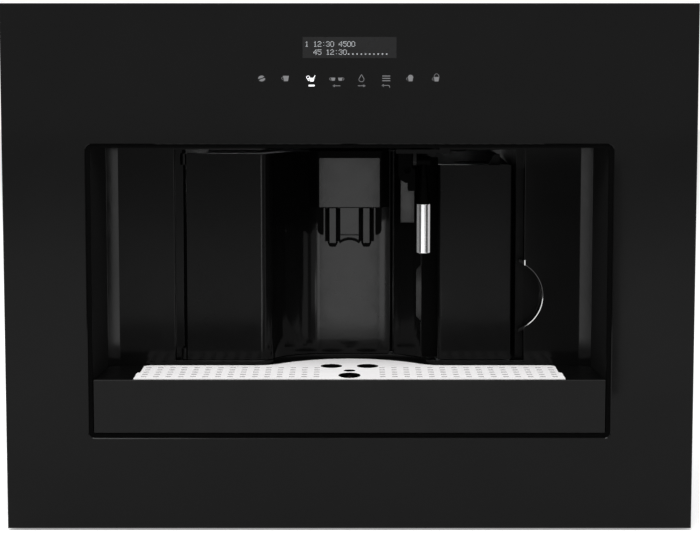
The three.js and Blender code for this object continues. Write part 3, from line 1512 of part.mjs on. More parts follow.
function makePump() {
  const bottom = chassisFloor + seat;
  const axisZ = bottom + pumpFootHeight - 1 + pumpCoilWidth / 2;
  const front = pumpY - pumpLength / 2;
  const back = pumpY + pumpLength / 2;
  const across = (width) => [pumpX - width / 2, pumpX + width / 2];
  const along = (length) => [pumpY - length / 2, pumpY + length / 2];
  const coilHeights = [axisZ - pumpCoilWidth / 2, axisZ + pumpCoilWidth / 2];
  const pump = barAlongY(pumpX, [front, back], axisZ, pumpRadius)
    .add(block(across(pumpCoilWidth), along(pumpCoilLength), coilHeights))
    .add(barAlongY(pumpX, [front - pumpOutlet, front + 1], axisZ, 5, 12))
    .add(barAlongY(pumpX, [back - 1, back + pumpInlet], axisZ, 6, 12))
    .add(block(across(pumpFootWidth), along(pumpFootLength), [bottom, bottom + pumpFootHeight]));
  piece('water_pump', pump, castAluminium);
}

function makePowerBoard() {
  const back = bulkheadOuter + seat;
  const x0 = back + standoff;
  const y0 = 150;
  const z0 = 160;
  const y1 = y0 + powerBoardLength;
  const z1 = z0 + powerBoardHeight;
  let board = block([x0, x0 + boardThickness], [y0, y1], [z0, z1]);
  for (const y of [y0 + 8, y1 - 8]) {
    for (const z of [z0 + 8, z1 - 8]) board = board.add(barAlongX([back, x0 + 0.5], y, z, 3.5, 10));
  }
  const parts = [
    [[y0 + 12, y0 + 52], [z0 + 20, z0 + 60], 34],
    [[y0 + 66, y0 + 86], [z0 + 20, z0 + 44], 18],
    [[y0 + 66, y0 + 86], [z0 + 54, z0 + 78], 18],
    [[y0 + 100, y0 + 134], [z0 + 16, z0 + 30], 12],
    [[y0 + 100, y0 + 134], [z0 + 80, z0 + 94], 12],
  ];
  for (const [ys, zs, height] of parts) {
    board = board.add(block([x0 + boardThickness - 0.5, x0 + boardThickness + height], ys, zs));
  }
  piece('power_board', board, boardGreen);
}

const inletOpening = {
  x: [inletX - inletWidth / 2 - seat, inletX + inletWidth / 2 + seat],
  z: [inletZ - inletHeight / 2 - seat, inletZ + inletHeight / 2 + seat],
};
const switchOpening = {
  x: [inletX - switchWidth / 2 - 2 - seat, inletX + switchWidth / 2 + 2 + seat],
  z: [switchZ - switchHeight / 2 - 2 - seat, switchZ + switchHeight / 2 + 2 + seat],
};

function makeInletAndSwitch() {
  const lipThickness = 1.6;
  const lip = [bodyBackY + seat, bodyBackY + seat + lipThickness];
  const inner = bodyBackY - inletDepth;
  let inlet = block([inletX - inletWidth / 2, inletX + inletWidth / 2], [inner, lip[1]], [
    inletZ - inletHeight / 2, inletZ + inletHeight / 2,
  ]);
  inlet = inlet.add(block([inletX - 25, inletX + 25], lip, [inletZ - inletHeight / 2 - 3, inletZ + inletHeight / 2 + 3]));
  const socket = carryBack([
    [inletX - 11.5, inletZ - 7.5], [inletX + 11.5, inletZ - 7.5], [inletX + 11.5, inletZ + 3.5],
    [inletX + 7.5, inletZ + 7.5], [inletX - 7.5, inletZ + 7.5], [inletX - 11.5, inletZ + 3.5],
  ].map(([x, z]) => new THREE.Vector2(x, z)), [inner + 3, lip[1] + 1]);
  inlet = inlet.subtract(socket);
  for (const [x, z] of [[-7, -1], [7, -1], [0, 3]]) {
    inlet = inlet.add(block(
      [inletX + x - 1, inletX + x + 1], [inner + 2, bodyBackY - 4], [inletZ + z - 2, inletZ + z + 2],
    ));
  }
  piece('mains_inlet', inlet, blackSatin);

  const bezelDepth = 14;
  const rockerGap = 0.5;
  const bezelInner = bodyBackY - bezelDepth;
  const outerHalf = switchWidth / 2 + 2;
  const outerTall = switchHeight / 2 + 2;
  const bezel = block([inletX - outerHalf, inletX + outerHalf], [bezelInner, lip[1]], [switchZ - outerTall, switchZ + outerTall])
    .add(block([inletX - outerHalf - 2, inletX + outerHalf + 2], lip, [switchZ - outerTall - 2, switchZ + outerTall + 2]))
    .subtract(block(
      [inletX - switchWidth / 2, inletX + switchWidth / 2],
      [bezelInner + 2, lip[1] + 1],
      [switchZ - switchHeight / 2, switchZ + switchHeight / 2],
    ));
  piece('switch_bezel', bezel, blackSatin);

  const rockerHalf = switchHeight / 2 - rockerGap;
  const rocker = carryAcross(rounded([
    [bodyBackY - 8, switchZ - 4],
    [bodyBackY - 1, switchZ - rockerHalf + 1],
    [lip[1] - 1, switchZ - rockerHalf + 1, 0.8],
    [lip[1] - 1.2, switchZ],
    [lip[1] + 2, switchZ + rockerHalf - 1.4, 0.8],
    [bodyBackY - 1, switchZ + rockerHalf - 1],
    [bodyBackY - 8, switchZ + 4],
  ], 2), [inletX - switchWidth / 2 + rockerGap, inletX + switchWidth / 2 - rockerGap]);
  piece('main_switch', rocker, blackSatin);
}

// ---------------------------------------------------------------- assembly

makeFrontPanel();
makePanelFrame();
makeControlBoard();
makeBayLiner();
makeDripTray();
makeCupGrille();
makeServiceDoor();
makeSpout();
makeNozzleHousing();
makeConnector();
makeWand();
makeWaterTank();
makeTankCradle();
makeChassis();
makeCovers();
makeRunners();
makeBrewUnit();
makeGroundsContainer();
makeHopper();
makeGrinder();
makeGroundCoffeeChute();
makeBoiler();
makePump();
makePowerBoard();
makeInletAndSwitch();

const overall = new THREE.Box3().setFromObject(machine);
machine.position.set(0, -(overall.min.y + overall.max.y) / 2, panelLift);

export default machine;
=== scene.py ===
"""Looks for the built-in coffee machine: materials, fine detail, camera and soft studio light."""
import json
import math

import bmesh
import bpy
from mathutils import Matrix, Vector


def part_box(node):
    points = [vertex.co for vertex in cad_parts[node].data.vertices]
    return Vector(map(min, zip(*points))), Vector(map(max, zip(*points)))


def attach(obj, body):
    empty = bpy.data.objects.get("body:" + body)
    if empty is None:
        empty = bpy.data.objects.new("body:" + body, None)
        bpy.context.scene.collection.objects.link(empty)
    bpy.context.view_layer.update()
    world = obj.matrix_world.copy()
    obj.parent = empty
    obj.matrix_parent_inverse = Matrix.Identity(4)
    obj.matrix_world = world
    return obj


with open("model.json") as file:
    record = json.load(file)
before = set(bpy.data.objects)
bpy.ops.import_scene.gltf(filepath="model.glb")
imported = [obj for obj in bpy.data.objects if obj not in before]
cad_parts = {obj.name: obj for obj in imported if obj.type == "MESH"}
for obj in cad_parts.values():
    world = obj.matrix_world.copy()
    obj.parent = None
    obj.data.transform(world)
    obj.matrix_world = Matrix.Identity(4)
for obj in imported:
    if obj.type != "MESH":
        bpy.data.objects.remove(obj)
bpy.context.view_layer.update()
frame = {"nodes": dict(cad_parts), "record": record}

NODES = frame["nodes"]
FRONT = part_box("front_panel")[0].y  # the glass face
FLOOR_GAP = 0.002  # the glass's lower edge above the floor
MM = 0.001


def at(x, y, z):
    """A point given in mm from the glass: x right, y back, z up from the glass's lower edge."""
    return Vector((x * MM, FRONT + y * MM, z * MM + FLOOR_GAP))


# ------------------------------------------------------------------ materials

BUMP_DEPTH = 0.0002  # metres
WEAR_GRAIN = 2.7  # how much finer the roughness varies than the colour
SPANGLE_SCALE = 150.0
GLOW_SCALE, GLOW_DIP = 400.0, 0.88  # unevenness of a lit mark
MATT_LIFT = 1.12  # lightest over darkest tone of a matt side
LEVEL_FROM, LEVEL_TO = 0.6, 0.95  # upward part of a normal over which the painted shade on faces that don't lie level fades, from a punched edge to a level face
SIDEWAYS = 0.97  # sideways part of a normal from which a face counts as facing left or right


def _new_material(name):
    mat = bpy.data.materials.new(name)
    mat.use_nodes = True
    tree = mat.node_tree
    tree.nodes.clear()
    out = tree.nodes.new("ShaderNodeOutputMaterial")
    bsdf = tree.nodes.new("ShaderNodeBsdfPrincipled")
    tree.links.new(bsdf.outputs["BSDF"], out.inputs["Surface"])
    return mat, tree, bsdf


def _coords(tree, stretch=(1, 1, 1)):
    tc = tree.nodes.new("ShaderNodeTexCoord")
    mp = tree.nodes.new("ShaderNodeMapping")
    mp.inputs["Scale"].default_value = stretch
    tree.links.new(tc.outputs["Object"], mp.inputs["Vector"])
    return mp.outputs["Vector"]


def _noise(tree, vector, scale, detail=3.0):
    node = tree.nodes.new("ShaderNodeTexNoise")
    node.inputs["Scale"].default_value = scale
    node.inputs["Detail"].default_value = detail
    node.inputs["Roughness"].default_value = 0.55
    tree.links.new(vector, node.inputs["Vector"])
    return node.outputs["Fac"]


def _range(tree, value, lo, hi, from_lo=0.3, from_hi=0.7):
    node = tree.nodes.new("ShaderNodeMapRange")
    node.inputs["From Min"].default_value = from_lo
    node.inputs["From Max"].default_value = from_hi
    node.inputs["To Min"].default_value = lo
    node.inputs["To Max"].default_value = hi
    tree.links.new(value, node.inputs["Value"])
    return node.outputs["Result"]


def _put(tree, value, socket):
    """Links an output to a socket, or sets the socket to a number."""
    if isinstance(value, bpy.types.NodeSocket):
        tree.links.new(value, socket)
    else:
        socket.default_value = value


def _blend(tree, fac, a, b, blend_type="MIX"):
    """Two colours, each an output or three numbers, mixed by fac."""
    node = tree.nodes.new("ShaderNodeMix")
    node.data_type = "RGBA"
    node.blend_type = blend_type
    _put(tree, fac, node.inputs["Factor"])
    for socket, value in zip(node.inputs[6:8], (a, b)):  # the colour sockets A and B
        _put(tree, (*value, 1.0) if isinstance(value, tuple) else value, socket)
    return node.outputs[2]


def _math(tree, operation, a, b=0.0):
    node = tree.nodes.new("ShaderNodeMath")
    node.operation = operation
    _put(tree, a, node.inputs[0])
    _put(tree, b, node.inputs[1])
    return node.outputs[0]


def _part(tree, vector, axis):
    """One of a vector's X, Y and Z."""
    split = tree.nodes.new("ShaderNodeSeparateXYZ")
    tree.links.new(vector, split.inputs["Vector"])
    return split.outputs[axis]


def _true_normal(tree):
    return tree.nodes.new("ShaderNodeNewGeometry").outputs["True Normal"]


def surface(name, colour, rough, *, metal=0.0, level=0.5, ior=1.5, vary=0.1, grain=30.0,
            rough_vary=0.05, bump=0.0, bump_scale=600.0, stretch=(1, 1, 1), transmission=0.0,
            spangle=0.0, painted_edge_shade=0.0):
    """A finish whose colour, roughness and relief vary over the surface."""
    mat, tree, bsdf = _new_material(name)
    vector = _coords(tree, stretch)
    light = tuple(min(1.0, c * (1 + vary)) for c in colour)
    dark = tuple(c * (1 - vary) for c in colour)
    tone = _blend(tree, _range(tree, _noise(tree, vector, grain), 0, 1), dark, light)
    if spangle:
        cells = tree.nodes.new("ShaderNodeTexVoronoi")
        cells.inputs["Scale"].default_value = SPANGLE_SCALE
        tree.links.new(vector, cells.inputs["Vector"])
        grey = tree.nodes.new("ShaderNodeSeparateColor")
        tree.links.new(cells.outputs["Color"], grey.inputs["Color"])
        shade = _range(tree, grey.outputs["Red"], 1 - spangle, 1 + spangle, 0, 1)
        tone = _blend(tree, 1.0, tone, shade, "MULTIPLY")
    if painted_edge_shade:  # painted shade: faces that don't lie level, such as punched edges, are made darker
        upward = _part(tree, _true_normal(tree), "Z")
        painted_shade = tuple(c * painted_edge_shade for c in colour)
        tone = _blend(tree, _range(tree, upward, 0, 1, LEVEL_FROM, LEVEL_TO), painted_shade, tone)
    tree.links.new(tone, bsdf.inputs["Base Color"])
    wear = _noise(tree, vector, grain * WEAR_GRAIN, 4.0)
    tree.links.new(_range(tree, wear, max(0.02, rough - rough_vary), min(1.0, rough + rough_vary)),
                   bsdf.inputs["Roughness"])
    if bump:
        relief = tree.nodes.new("ShaderNodeBump")
        relief.inputs["Strength"].default_value = bump
        relief.inputs["Distance"].default_value = BUMP_DEPTH
        tree.links.new(_noise(tree, vector, bump_scale, 2.0), relief.inputs["Height"])
        tree.links.new(relief.outputs["Normal"], bsdf.inputs["Normal"])
    bsdf.inputs["Metallic"].default_value = metal
    bsdf.inputs["Specular IOR Level"].default_value = level
    bsdf.inputs["IOR"].default_value = ior
    bsdf.inputs["Transmission Weight"].default_value = transmission
    return mat


def glow(name, colour, strength):
    """A lit mark on the glass, with a slight unevenness across it."""
    mat, tree, bsdf = _new_material(name)
    low = tuple(c * GLOW_DIP for c in colour)
    share = _range(tree, _noise(tree, _coords(tree), GLOW_SCALE), 0, 1)
    tone = _blend(tree, share, low, colour)
    tree.links.new(tone, bsdf.inputs["Base Color"])
    tree.links.new(tone, bsdf.inputs["Emission Color"])
    bsdf.inputs["Emission Strength"].default_value = strength
    bsdf.inputs["Roughness"].default_value = 0.5
    bsdf.inputs["Specular IOR Level"].default_value = 0.1
    return mat


def matt_sides(mat, from_x, colour):
    """Makes a glossy material matt where it faces left or right, beyond from_x mm of the middle."""
    tree = mat.node_tree
    out = next(n for n in tree.nodes if n.type == "OUTPUT_MATERIAL")
    gloss = next(n for n in tree.nodes if n.type == "BSDF_PRINCIPLED")
    vector = _coords(tree)
    facing = _math(tree, "ABSOLUTE", _part(tree, _true_normal(tree), "X"))
    away = _math(tree, "ABSOLUTE", _part(tree, vector, "X"))
    share = _math(tree, "MULTIPLY", _math(tree, "GREATER_THAN", facing, SIDEWAYS),
                  _math(tree, "GREATER_THAN", away, from_x * MM))
    matt = tree.nodes.new("ShaderNodeBsdfPrincipled")
    light = tuple(c * MATT_LIFT for c in colour)
    tone = _blend(tree, _range(tree, _noise(tree, vector, 30.0), 0, 1), colour, light)
    tree.links.new(tone, matt.inputs["Base Color"])
    matt.inputs["Roughness"].default_value = 0.95
    matt.inputs["Specular IOR Level"].default_value = 0.0
    mix = tree.nodes.new("ShaderNodeMixShader")
    tree.links.new(share, mix.inputs["Fac"])
    tree.links.new(gloss.outputs[0], mix.inputs[1])
    tree.links.new(matt.outputs[0], mix.inputs[2])
    tree.links.new(mix.outputs[0], out.inputs["Surface"])


GLASS = surface("black_glass", (0.0038, 0.0038, 0.0038), 0.07, level=0.085, vary=0.06,
                grain=14, rough_vary=0.02)
GLOSS = surface("black_gloss", (0.002, 0.002, 0.002), 0.09, level=0.07, vary=0.12,
                grain=26, rough_vary=0.02, bump=0.05, bump_scale=350)
LINER = surface("bay_gloss", (0.0026, 0.0026, 0.0026), 0.1, level=0.07, vary=0.12,
                grain=22, rough_vary=0.02, bump=0.04, bump_scale=350)
matt_sides(LINER, 190, (0.0085, 0.0085, 0.0085))
EDGE = surface("polished_edge", (0.002, 0.002, 0.002), 0.1, level=0.5, vary=0.1, grain=60,
               rough_vary=0.02)
SATIN = surface("black_satin", (0.0105, 0.0105, 0.0105), 0.42, level=0.18, vary=0.1,
                grain=40, rough_vary=0.06, bump=0.18, bump_scale=1400)
TRAY_FACE = surface("tray_face_satin", (0.0077, 0.0077, 0.0077), 0.45, level=0.08, vary=0.06,
                    grain=25, rough_vary=0.04, bump=0.1, bump_scale=1800)
MATT = surface("black_matt", (0.0006, 0.0006, 0.0006), 0.35, level=0.012, vary=0.2,
               grain=50, rough_vary=0.06, bump=0.12, bump_scale=1200)
COATED = surface("coated_sheet", (0.0035, 0.0035, 0.0035), 0.5, level=0.2, vary=0.12,
                 grain=40, rough_vary=0.06, bump=0.2, bump_scale=1500)
BASIN = surface("tray_basin", (0.0011, 0.0011, 0.0011), 0.5, level=0.06, vary=0.15,
                grain=40, rough_vary=0.06, bump=0.2, bump_scale=1500)
FOAM = surface("black_foam", (0.0014, 0.0014, 0.0014), 0.9, level=0.02, vary=0.2,
               grain=300, bump=0.5, bump_scale=2500)
DISPLAY = surface("display_filter", (0.0125, 0.0125, 0.0127), 0.3, level=0.1, vary=0.05,
                  grain=90, rough_vary=0.04)
# the pale steel carries painted shade on faces that don't lie level, such as slot walls
PALE = surface("pale_steel", (0.96, 0.945, 0.95), 0.42, metal=0.05, level=0.4, vary=0.02,
               grain=9, rough_vary=0.08, stretch=(1, 14, 1), bump=0.04, bump_scale=120,
               painted_edge_shade=0.6)
CHROME = surface("chrome", (0.86, 0.86, 0.87), 0.06, metal=0.93, vary=0.02, grain=60,
                 rough_vary=0.02)
ZINC = surface("galvanised_sheet", (0.3, 0.31, 0.32), 0.42, metal=0.7, vary=0.07, grain=18,
               rough_vary=0.08, spangle=0.06, bump=0.06, bump_scale=160)
GREY = surface("grey_moulding", (0.085, 0.09, 0.095), 0.5, vary=0.1, grain=35,
               rough_vary=0.07, bump=0.25, bump_scale=1500)
SMOKED = surface("smoked_plastic", (0.06, 0.065, 0.07), 0.12, vary=0.08, grain=20,
                 rough_vary=0.04, transmission=0.55, ior=1.49)
BOARD = surface("board_green", (0.012, 0.09, 0.035), 0.42, vary=0.3, grain=160,
                rough_vary=0.1, bump=0.3, bump_scale=900)
CAST = surface("cast_aluminium", (0.5, 0.51, 0.52), 0.45, metal=0.9, vary=0.08, grain=45,
               rough_vary=0.12, bump=0.35, bump_scale=700)
SCREW = surface("plated_screw", (0.42, 0.42, 0.4), 0.32, metal=0.9, vary=0.1, grain=90,
                rough_vary=0.06, bump=0.1, bump_scale=900)
RED = surface("float_red", (0.008, 0.0012, 0.0012), 0.5, vary=0.1, grain=60, bump=0.1)
BURR = surface("ground_steel", (0.42, 0.43, 0.44), 0.26, metal=1.0, vary=0.08, grain=20,
               rough_vary=0.08, stretch=(1, 1, 12))
WHITE = surface("white_moulding", (0.75, 0.73, 0.68), 0.45, vary=0.04, grain=40, bump=0.1)

MATERIAL_OF_SLOT = {
    "glass_black": GLASS, "gloss_black": GLOSS, "satin_black": SATIN, "display": DISPLAY,
    "pale_steel": PALE, "chrome": CHROME, "zinc_steel": ZINC, "grey_plastic": GREY,
    "smoked_plastic": SMOKED, "board": BOARD, "cast_aluminium": CAST, "float_red": RED,
    "burr_steel": BURR, "white_plastic": WHITE,
}
OWN_MATERIAL = {  # nodes that differ from the rest of their slot
    "bay_liner": LINER, "nozzle_housing": LINER, "tray_front": TRAY_FACE,
    "spout_housing": MATT, "steam_connector": MATT, "wand_holder": MATT,
    "wand_pivot_pin": MATT, "door_hinge_pin_upper": MATT, "door_hinge_pin_lower": MATT,
    "bulkhead_left": COATED, "bulkhead_right": COATED, "drip_tray": BASIN, "tank_lid": BASIN,
}


# ------------------------------------------------------------------ carried-over nodes

PLAIN_BEVEL = 0.25  # edge radius in mm
BEVEL = {  # edge radius in mm where it isn't the plain one
    "service_door": 0.15, "tank_front": 0.15, "bay_liner": 0.4, "spout_housing": 0.6,
    "spout_face_plate": 0.4, "tray_front": 0.6, "nozzle_block": 0.9, "nozzle_housing": 0.4,
    "display_window": 0.05, "steam_wand": 0.4, "drip_tray": 0.4,
}
NO_BEVEL = {  # fine parts, and sheets with cut-outs
    "control_board", "grinder_burr", "grind_knob", "cup_grille", "rear_cover", "top_cover",
    "upper_deck", "lower_deck", "chassis_base", "panel_frame",
}
PLAIN_CREASE = 32  # smallest angle in degrees that counts as an edge
CREASE = {"bay_liner": 24, "drip_tray": 24}
WELD_REACH = 2e-6  # metres
FLAT_ANGLE = 0.6  # degrees: faces that meet flatter than this become one
SPLIT_BEVELLED, SPLIT_PLAIN = 50, 30  # degrees from which shading breaks at an edge


def soften(obj, radius, crease):
    """Rounds a carried-over node's edges and smooths its curved faces, by modifiers alone."""
    mesh = obj.data
    size = (Vector(obj.bound_box[6]) - Vector(obj.bound_box[0])).length
    for name in ("custom_normal", "sharp_edge"):
        if name in mesh.attributes:
            mesh.attributes.remove(mesh.attributes[name])
    mesh.shade_smooth()
    obj.modifiers.new("weld", "WELD").merge_threshold = WELD_REACH
    if radius:
        flat = obj.modifiers.new("flat", "DECIMATE")
        flat.decimate_type = "DISSOLVE"
        flat.angle_limit = math.radians(FLAT_ANGLE)
        bevel = obj.modifiers.new("edges", "BEVEL")
        bevel.width = radius * MM
        bevel.segments = 2
        bevel.limit_method = "ANGLE"
        bevel.angle_limit = math.radians(crease)
        bevel.miter_outer = "MITER_ARC"
    split = obj.modifiers.new("creases", "EDGE_SPLIT")
    split.split_angle = math.radians(SPLIT_BEVELLED if radius else SPLIT_PLAIN)
    normals = obj.modifiers.new("normals", "WEIGHTED_NORMAL")
    normals.mode = "FACE_AREA"
    normals.weight = 75
    normals.thresh = 1e-3 * size ** 2
    normals.keep_sharp = True


def dress_nodes():
    slots = {s["node"]: s["material_slot"] for s in frame["record"]["subparts"]}
    for name, obj in NODES.items():
        obj.data.materials.clear()
        obj.data.materials.append(OWN_MATERIAL.get(name, MATERIAL_OF_SLOT[slots[name]]))
        radius = 0 if name in NO_BEVEL else BEVEL.get(name, PLAIN_BEVEL)
        soften(obj, radius, CREASE.get(name, PLAIN_CREASE))


# ------------------------------------------------------------------ shapes

OVERLAP = 0.6  # how far a stroke runs past its points, for each unit of half its width


def piece(name, bm, material, body, smooth=None):
    """Turns a bmesh drawn in the machine's millimetres into a piece that rides on a body.

    smooth is the angle in degrees up to which its faces are shaded as one.
    """
    mesh = bpy.data.meshes.new(name)
    for vertex in bm.verts:
        vertex.co = at(*vertex.co)
    bmesh.ops.recalc_face_normals(bm, faces=bm.faces)
    bm.to_mesh(mesh)
    bm.free()
    mesh.materials.append(material)
    obj = bpy.data.objects.new(name, mesh)
    bpy.context.scene.collection.objects.link(obj)
    if smooth:
        mesh.shade_smooth()
        split = obj.modifiers.new("creases", "EDGE_SPLIT")
        split.split_angle = math.radians(smooth)
    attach(obj, body)
    return obj


def band(bm, a, b):
    """Quads between two closed rows of vertices."""
    for i in range(len(a)):
        j = (i + 1) % len(a)
        bm.faces.new((a[i], a[j], b[j], b[i]))


def slab(bm, front, back):
    """A closed solid between two outlines of points."""
    face = [bm.verts.new(point) for point in front]
    rear = [bm.verts.new(point) for point in back]
    bm.faces.new(face)
    bm.faces.new(list(reversed(rear)))
    band(bm, rear, face)


def plate(bm, outline, front, back):
    """A flat plate standing in the XZ plane, from an outline of (x, z)."""
    slab(bm, [(x, front, z) for x, z in outline], [(x, back, z) for x, z in outline])


def box(bm, xs, ys, zs):
    plate(bm, [(xs[0], zs[0]), (xs[1], zs[0]), (xs[1], zs[1]), (xs[0], zs[1])], ys[0], ys[1])


def stroke(bm, points, width, front, back, closed=False):
    """A line of even width through points of (x, z), whose stretches overlap at the points."""
    pts = [Vector(p) for p in points]
    count = len(pts)
    for i in range(count if closed else count - 1):
        a, b = pts[i], pts[(i + 1) % count]
        along = (b - a).normalized() * width / 2
        side = Vector((-along.y, along.x))
        a, b = a - along * OVERLAP, b + along * OVERLAP
        plate(bm, [a - side, b - side, b + side, a + side], front, back)


def arc(cx, cz, rx, rz, start, end, steps):
    """Points on an oval's outline, from one angle in degrees to another."""
    turns = [math.radians(start + (end - start) * i / steps) for i in range(steps + 1)]
    return [(cx + rx * math.cos(turn), cz + rz * math.sin(turn)) for turn in turns]


def skin(bm, loops):
    """Joins loops of points, and the last one to the first, into one closed surface."""
    rows = [[bm.verts.new(point) for point in loop] for loop in loops]
    for a, b in zip(rows, rows[1:] + rows[:1]):
        band(bm, a, b)


def ring(bm, outer, inner, ys, radius_out, radius_in):
    """A rounded rectangular frame: outer and inner are (left, right, bottom, top)."""
    def outline(limits, r, y):
        x0, x1, z0, z1 = limits
        points = []
        for cx, cz, start in ((x1 - r, z1 - r, 0), (x0 + r, z1 - r, 90),
                              (x0 + r, z0 + r, 180), (x1 - r, z0 + r, 270)):
            points += arc(cx, cz, r, r, start, start + 90, 6)
        return [(x, y, z) for x, z in points]
    skin(bm, [outline(outer, radius_out, ys[0]), outline(inner, radius_in, ys[0]),
              outline(inner, radius_in, ys[1]), outline(outer, radius_out, ys[1])])


def sleeve(bm, centre, top, bottom, wall, zs, steps):
    """An upright tube with oval ends: top and bottom are outer radii (across, front to back)."""
    def loop(radii, z, inset):
        points = arc(centre[0], centre[1], radii[0] - inset, radii[1] - inset, 0, 360, steps)
        return [(x, y, z) for x, y in points[:-1]]
    skin(bm, [loop(top, zs[1], 0), loop(top, zs[1], wall),
              loop(bottom, zs[0], wall), loop(bottom, zs[0], 0)])


# ------------------------------------------------------------------ screws, seals and linings

REAR_Y, SIDE_X, TOP_Z = 406.0, 272.0, 442.5  # outer faces of the covers
SIDE_YZ = [(y, z) for y in (34, 160, 286, 393) for z in (32, 432)]
SCREWS = {  # outward axis and places in mm: the covers' pan head screws
    "rear_screws": ((0, 1, 0), [(x, REAR_Y, z) for x in (-262, -88, 88, 262) for z in (32, 434)]
                    + [(x, REAR_Y, 233) for x in (-262, 262)]),
    "left_screws": ((-1, 0, 0), [(-SIDE_X, y, z) for y, z in SIDE_YZ]),
    "right_screws": ((1, 0, 0), [(SIDE_X, y, z) for y, z in SIDE_YZ]),
    "top_screws": ((0, 0, 1), [(x, y, TOP_Z) for x in (-262, 262) for y in (34, 213, 393)]
                   + [(0, 34, TOP_Z)]),
}
SCREW_PROFILE = (  # radius and height in mm, from the washer to the rim of the recess
    (4.6, 0.0), (4.6, 0.25), (3.7, 0.3), (3.5, 1.0), (2.9, 1.45), (2.05, 1.6))
SCREW_TURN = 24  # points round a screw
CROSS_WIDE, CROSS_NARROW = 1.75, 0.75  # reach of the cross recess in mm
CROSS_TOP, CROSS_FOOT = (1.0, 1.62), (0.72, 0.55)  # its scale and height


def screw_head(bm, place, axis):
    """A pan head with a cross recess, standing on a sheet."""
    axis = Vector(axis)
    side = axis.orthogonal().normalized()
    up = axis.cross(side)

    def point(r, h, i):
        a = 2 * math.pi * i / SCREW_TURN
        return Vector(place) + side * (r * math.cos(a)) + up * (r * math.sin(a)) + axis * h

    def pit(scale, h):
        """The cross: wide at every sixth point and its neighbours, narrow between."""
        return [bm.verts.new(point(scale * (CROSS_WIDE if i % 6 in (0, 1, 5) else CROSS_NARROW),
                                   h, i)) for i in range(SCREW_TURN)]

    rows = [[bm.verts.new(point(r, h, i)) for i in range(SCREW_TURN)] for r, h in SCREW_PROFILE]
    rows += [pit(*CROSS_TOP), pit(*CROSS_FOOT)]
    for a, b in zip(rows, rows[1:]):
        band(bm, a, b)
    bm.faces.new(rows[-1])
    bm.faces.new(list(reversed(rows[0])))


def make_screws():
    for name, (axis, places) in SCREWS.items():
        bm = bmesh.new()
        for place in places:
            screw_head(bm, place, axis)
        piece(name, bm, SCREW, "machine", 35)


def make_gasket():
    """The soft black seal that shows as a dark ring between glass and bay."""
    bm = bmesh.new()
    ring(bm, (-225.9, 225.9, 80.1, 334.9), (-222.3, 222.3, 83.55, 331.9), (1.4, 5.1), 4.9, 3.4)
    piece("window_gasket", bm, FOAM, "machine", 35)


def make_shade_seals():
    """Foam strips in the gaps left of the tank and on both sides of the service door, and a
    slightly glossier one right of the tank:
    seals whose dark faces are also painted shade, standing in for the shade that falls in these
    gaps."""
    bm = bmesh.new()
    box(bm, (65.7, 79.6), (85.2, 85.95), (136.5, 318))
    box(bm, (37.4, 39.7), (115.7, 116.1), (136.5, 321))
    box(bm, (-156.7, -147.6), (84.6, 84.95), (136.5, 330))
    piece("channel_shade_seals", bm, FOAM, "machine")
    bm = bmesh.new()
    box(bm, (149.8, 156.7), (81.3, 81.95), (136, 308))
    piece("tank_side_shade_seal", bm, BASIN, "machine")


DRAINS = [  # middle of each large hole in the cup grille, and its radii across and front to back
    ((-16.2, 65.5), (9.7, 9.7)), ((16.2, 65.5), (9.7, 9.7)),
    ((0, 20.4), (9.7, 12.9)), ((0, 43), (5.25, 5.25)),
]


def make_drain_sleeves():
    """Black sleeves that line the large holes of the cup grille."""
    bm = bmesh.new()
    for middle, radii in DRAINS:
        sleeve(bm, middle, radii, radii, 0.3, (128.9, 131.22), 40)
    piece("drain_sleeves", bm, FOAM, "cup_grille", 35)


def make_scoop_edge():
    """The polished chamfer along the edge of the finger scoop right of the tank."""
    bm = bmesh.new()
    cx, cz, r = 141.6, 194, 32
    reach = 61  # degrees to either side of the arc's rightmost point

    def loop(radius, y):
        return [bm.verts.new((x, y, z)) for x, z in arc(cx, cz, radius, radius, -reach, reach, 40)]

    rows = [loop(r - 0.05, 72.0), loop(r + 0.62, 71.75), loop(r + 0.62, 71.97)]
    for a, b in zip(rows, rows[1:] + rows[:1]):
        for i in range(len(a) - 1):
            bm.faces.new((a[i], a[i + 1], b[i + 1], b[i]))
    bm.faces.new([row[0] for row in rows])
    bm.faces.new([row[-1] for row in reversed(rows)])
    # the chip of chamfer at the arc's upper end, turned so that it shines
    chip = [(157.0, 71.9), (157.9, 71.55), (157.9, 71.98), (157.0, 71.98)]
    slab(bm, [(x, y, 221.6) for x, y in chip], [(x, y, 226.3) for x, y in chip])
    return piece("scoop_edge", bm, EDGE, "machine", 35)


def make_nozzle_shade_plates():
    """Black foam plates and sleeves that paint shade: in the grooves round the two nozzles, on
    their tips and along the lip of the arch between.
    """
    bm = bmesh.new()
    for side in (-1, 1):
        x = side * 14.9
        box(bm, (x - 6.8, x + 6.8), (55.6, 55.95), (245.3, 274.8))
        sleeve(bm, (x, 55), (4.6, 4.6), (2.9, 2.9), 0.35, (240.75, 244.2), 28)
    box(bm, (-9.2, 9.2), (51.3, 51.46), (251.0, 251.5))
    radius, rise, bottom = 15.7, 4.2, 244.6
    reach = 38  # degrees to either side of the arch's top
    centre = bottom + rise - radius
    lip = arc(0, centre, radius - 0.1, radius - 0.1, 90 - reach, 90 + reach, 12)
    lip += arc(0, centre, radius - 2.1, radius - 2.1, 90 + reach, 90 - reach, 12)
    plate(bm, lip, 51.7, 54)
    piece("nozzle_shade_plates", bm, FOAM, "coffee_spout")


# ------------------------------------------------------------------ display and touch symbols

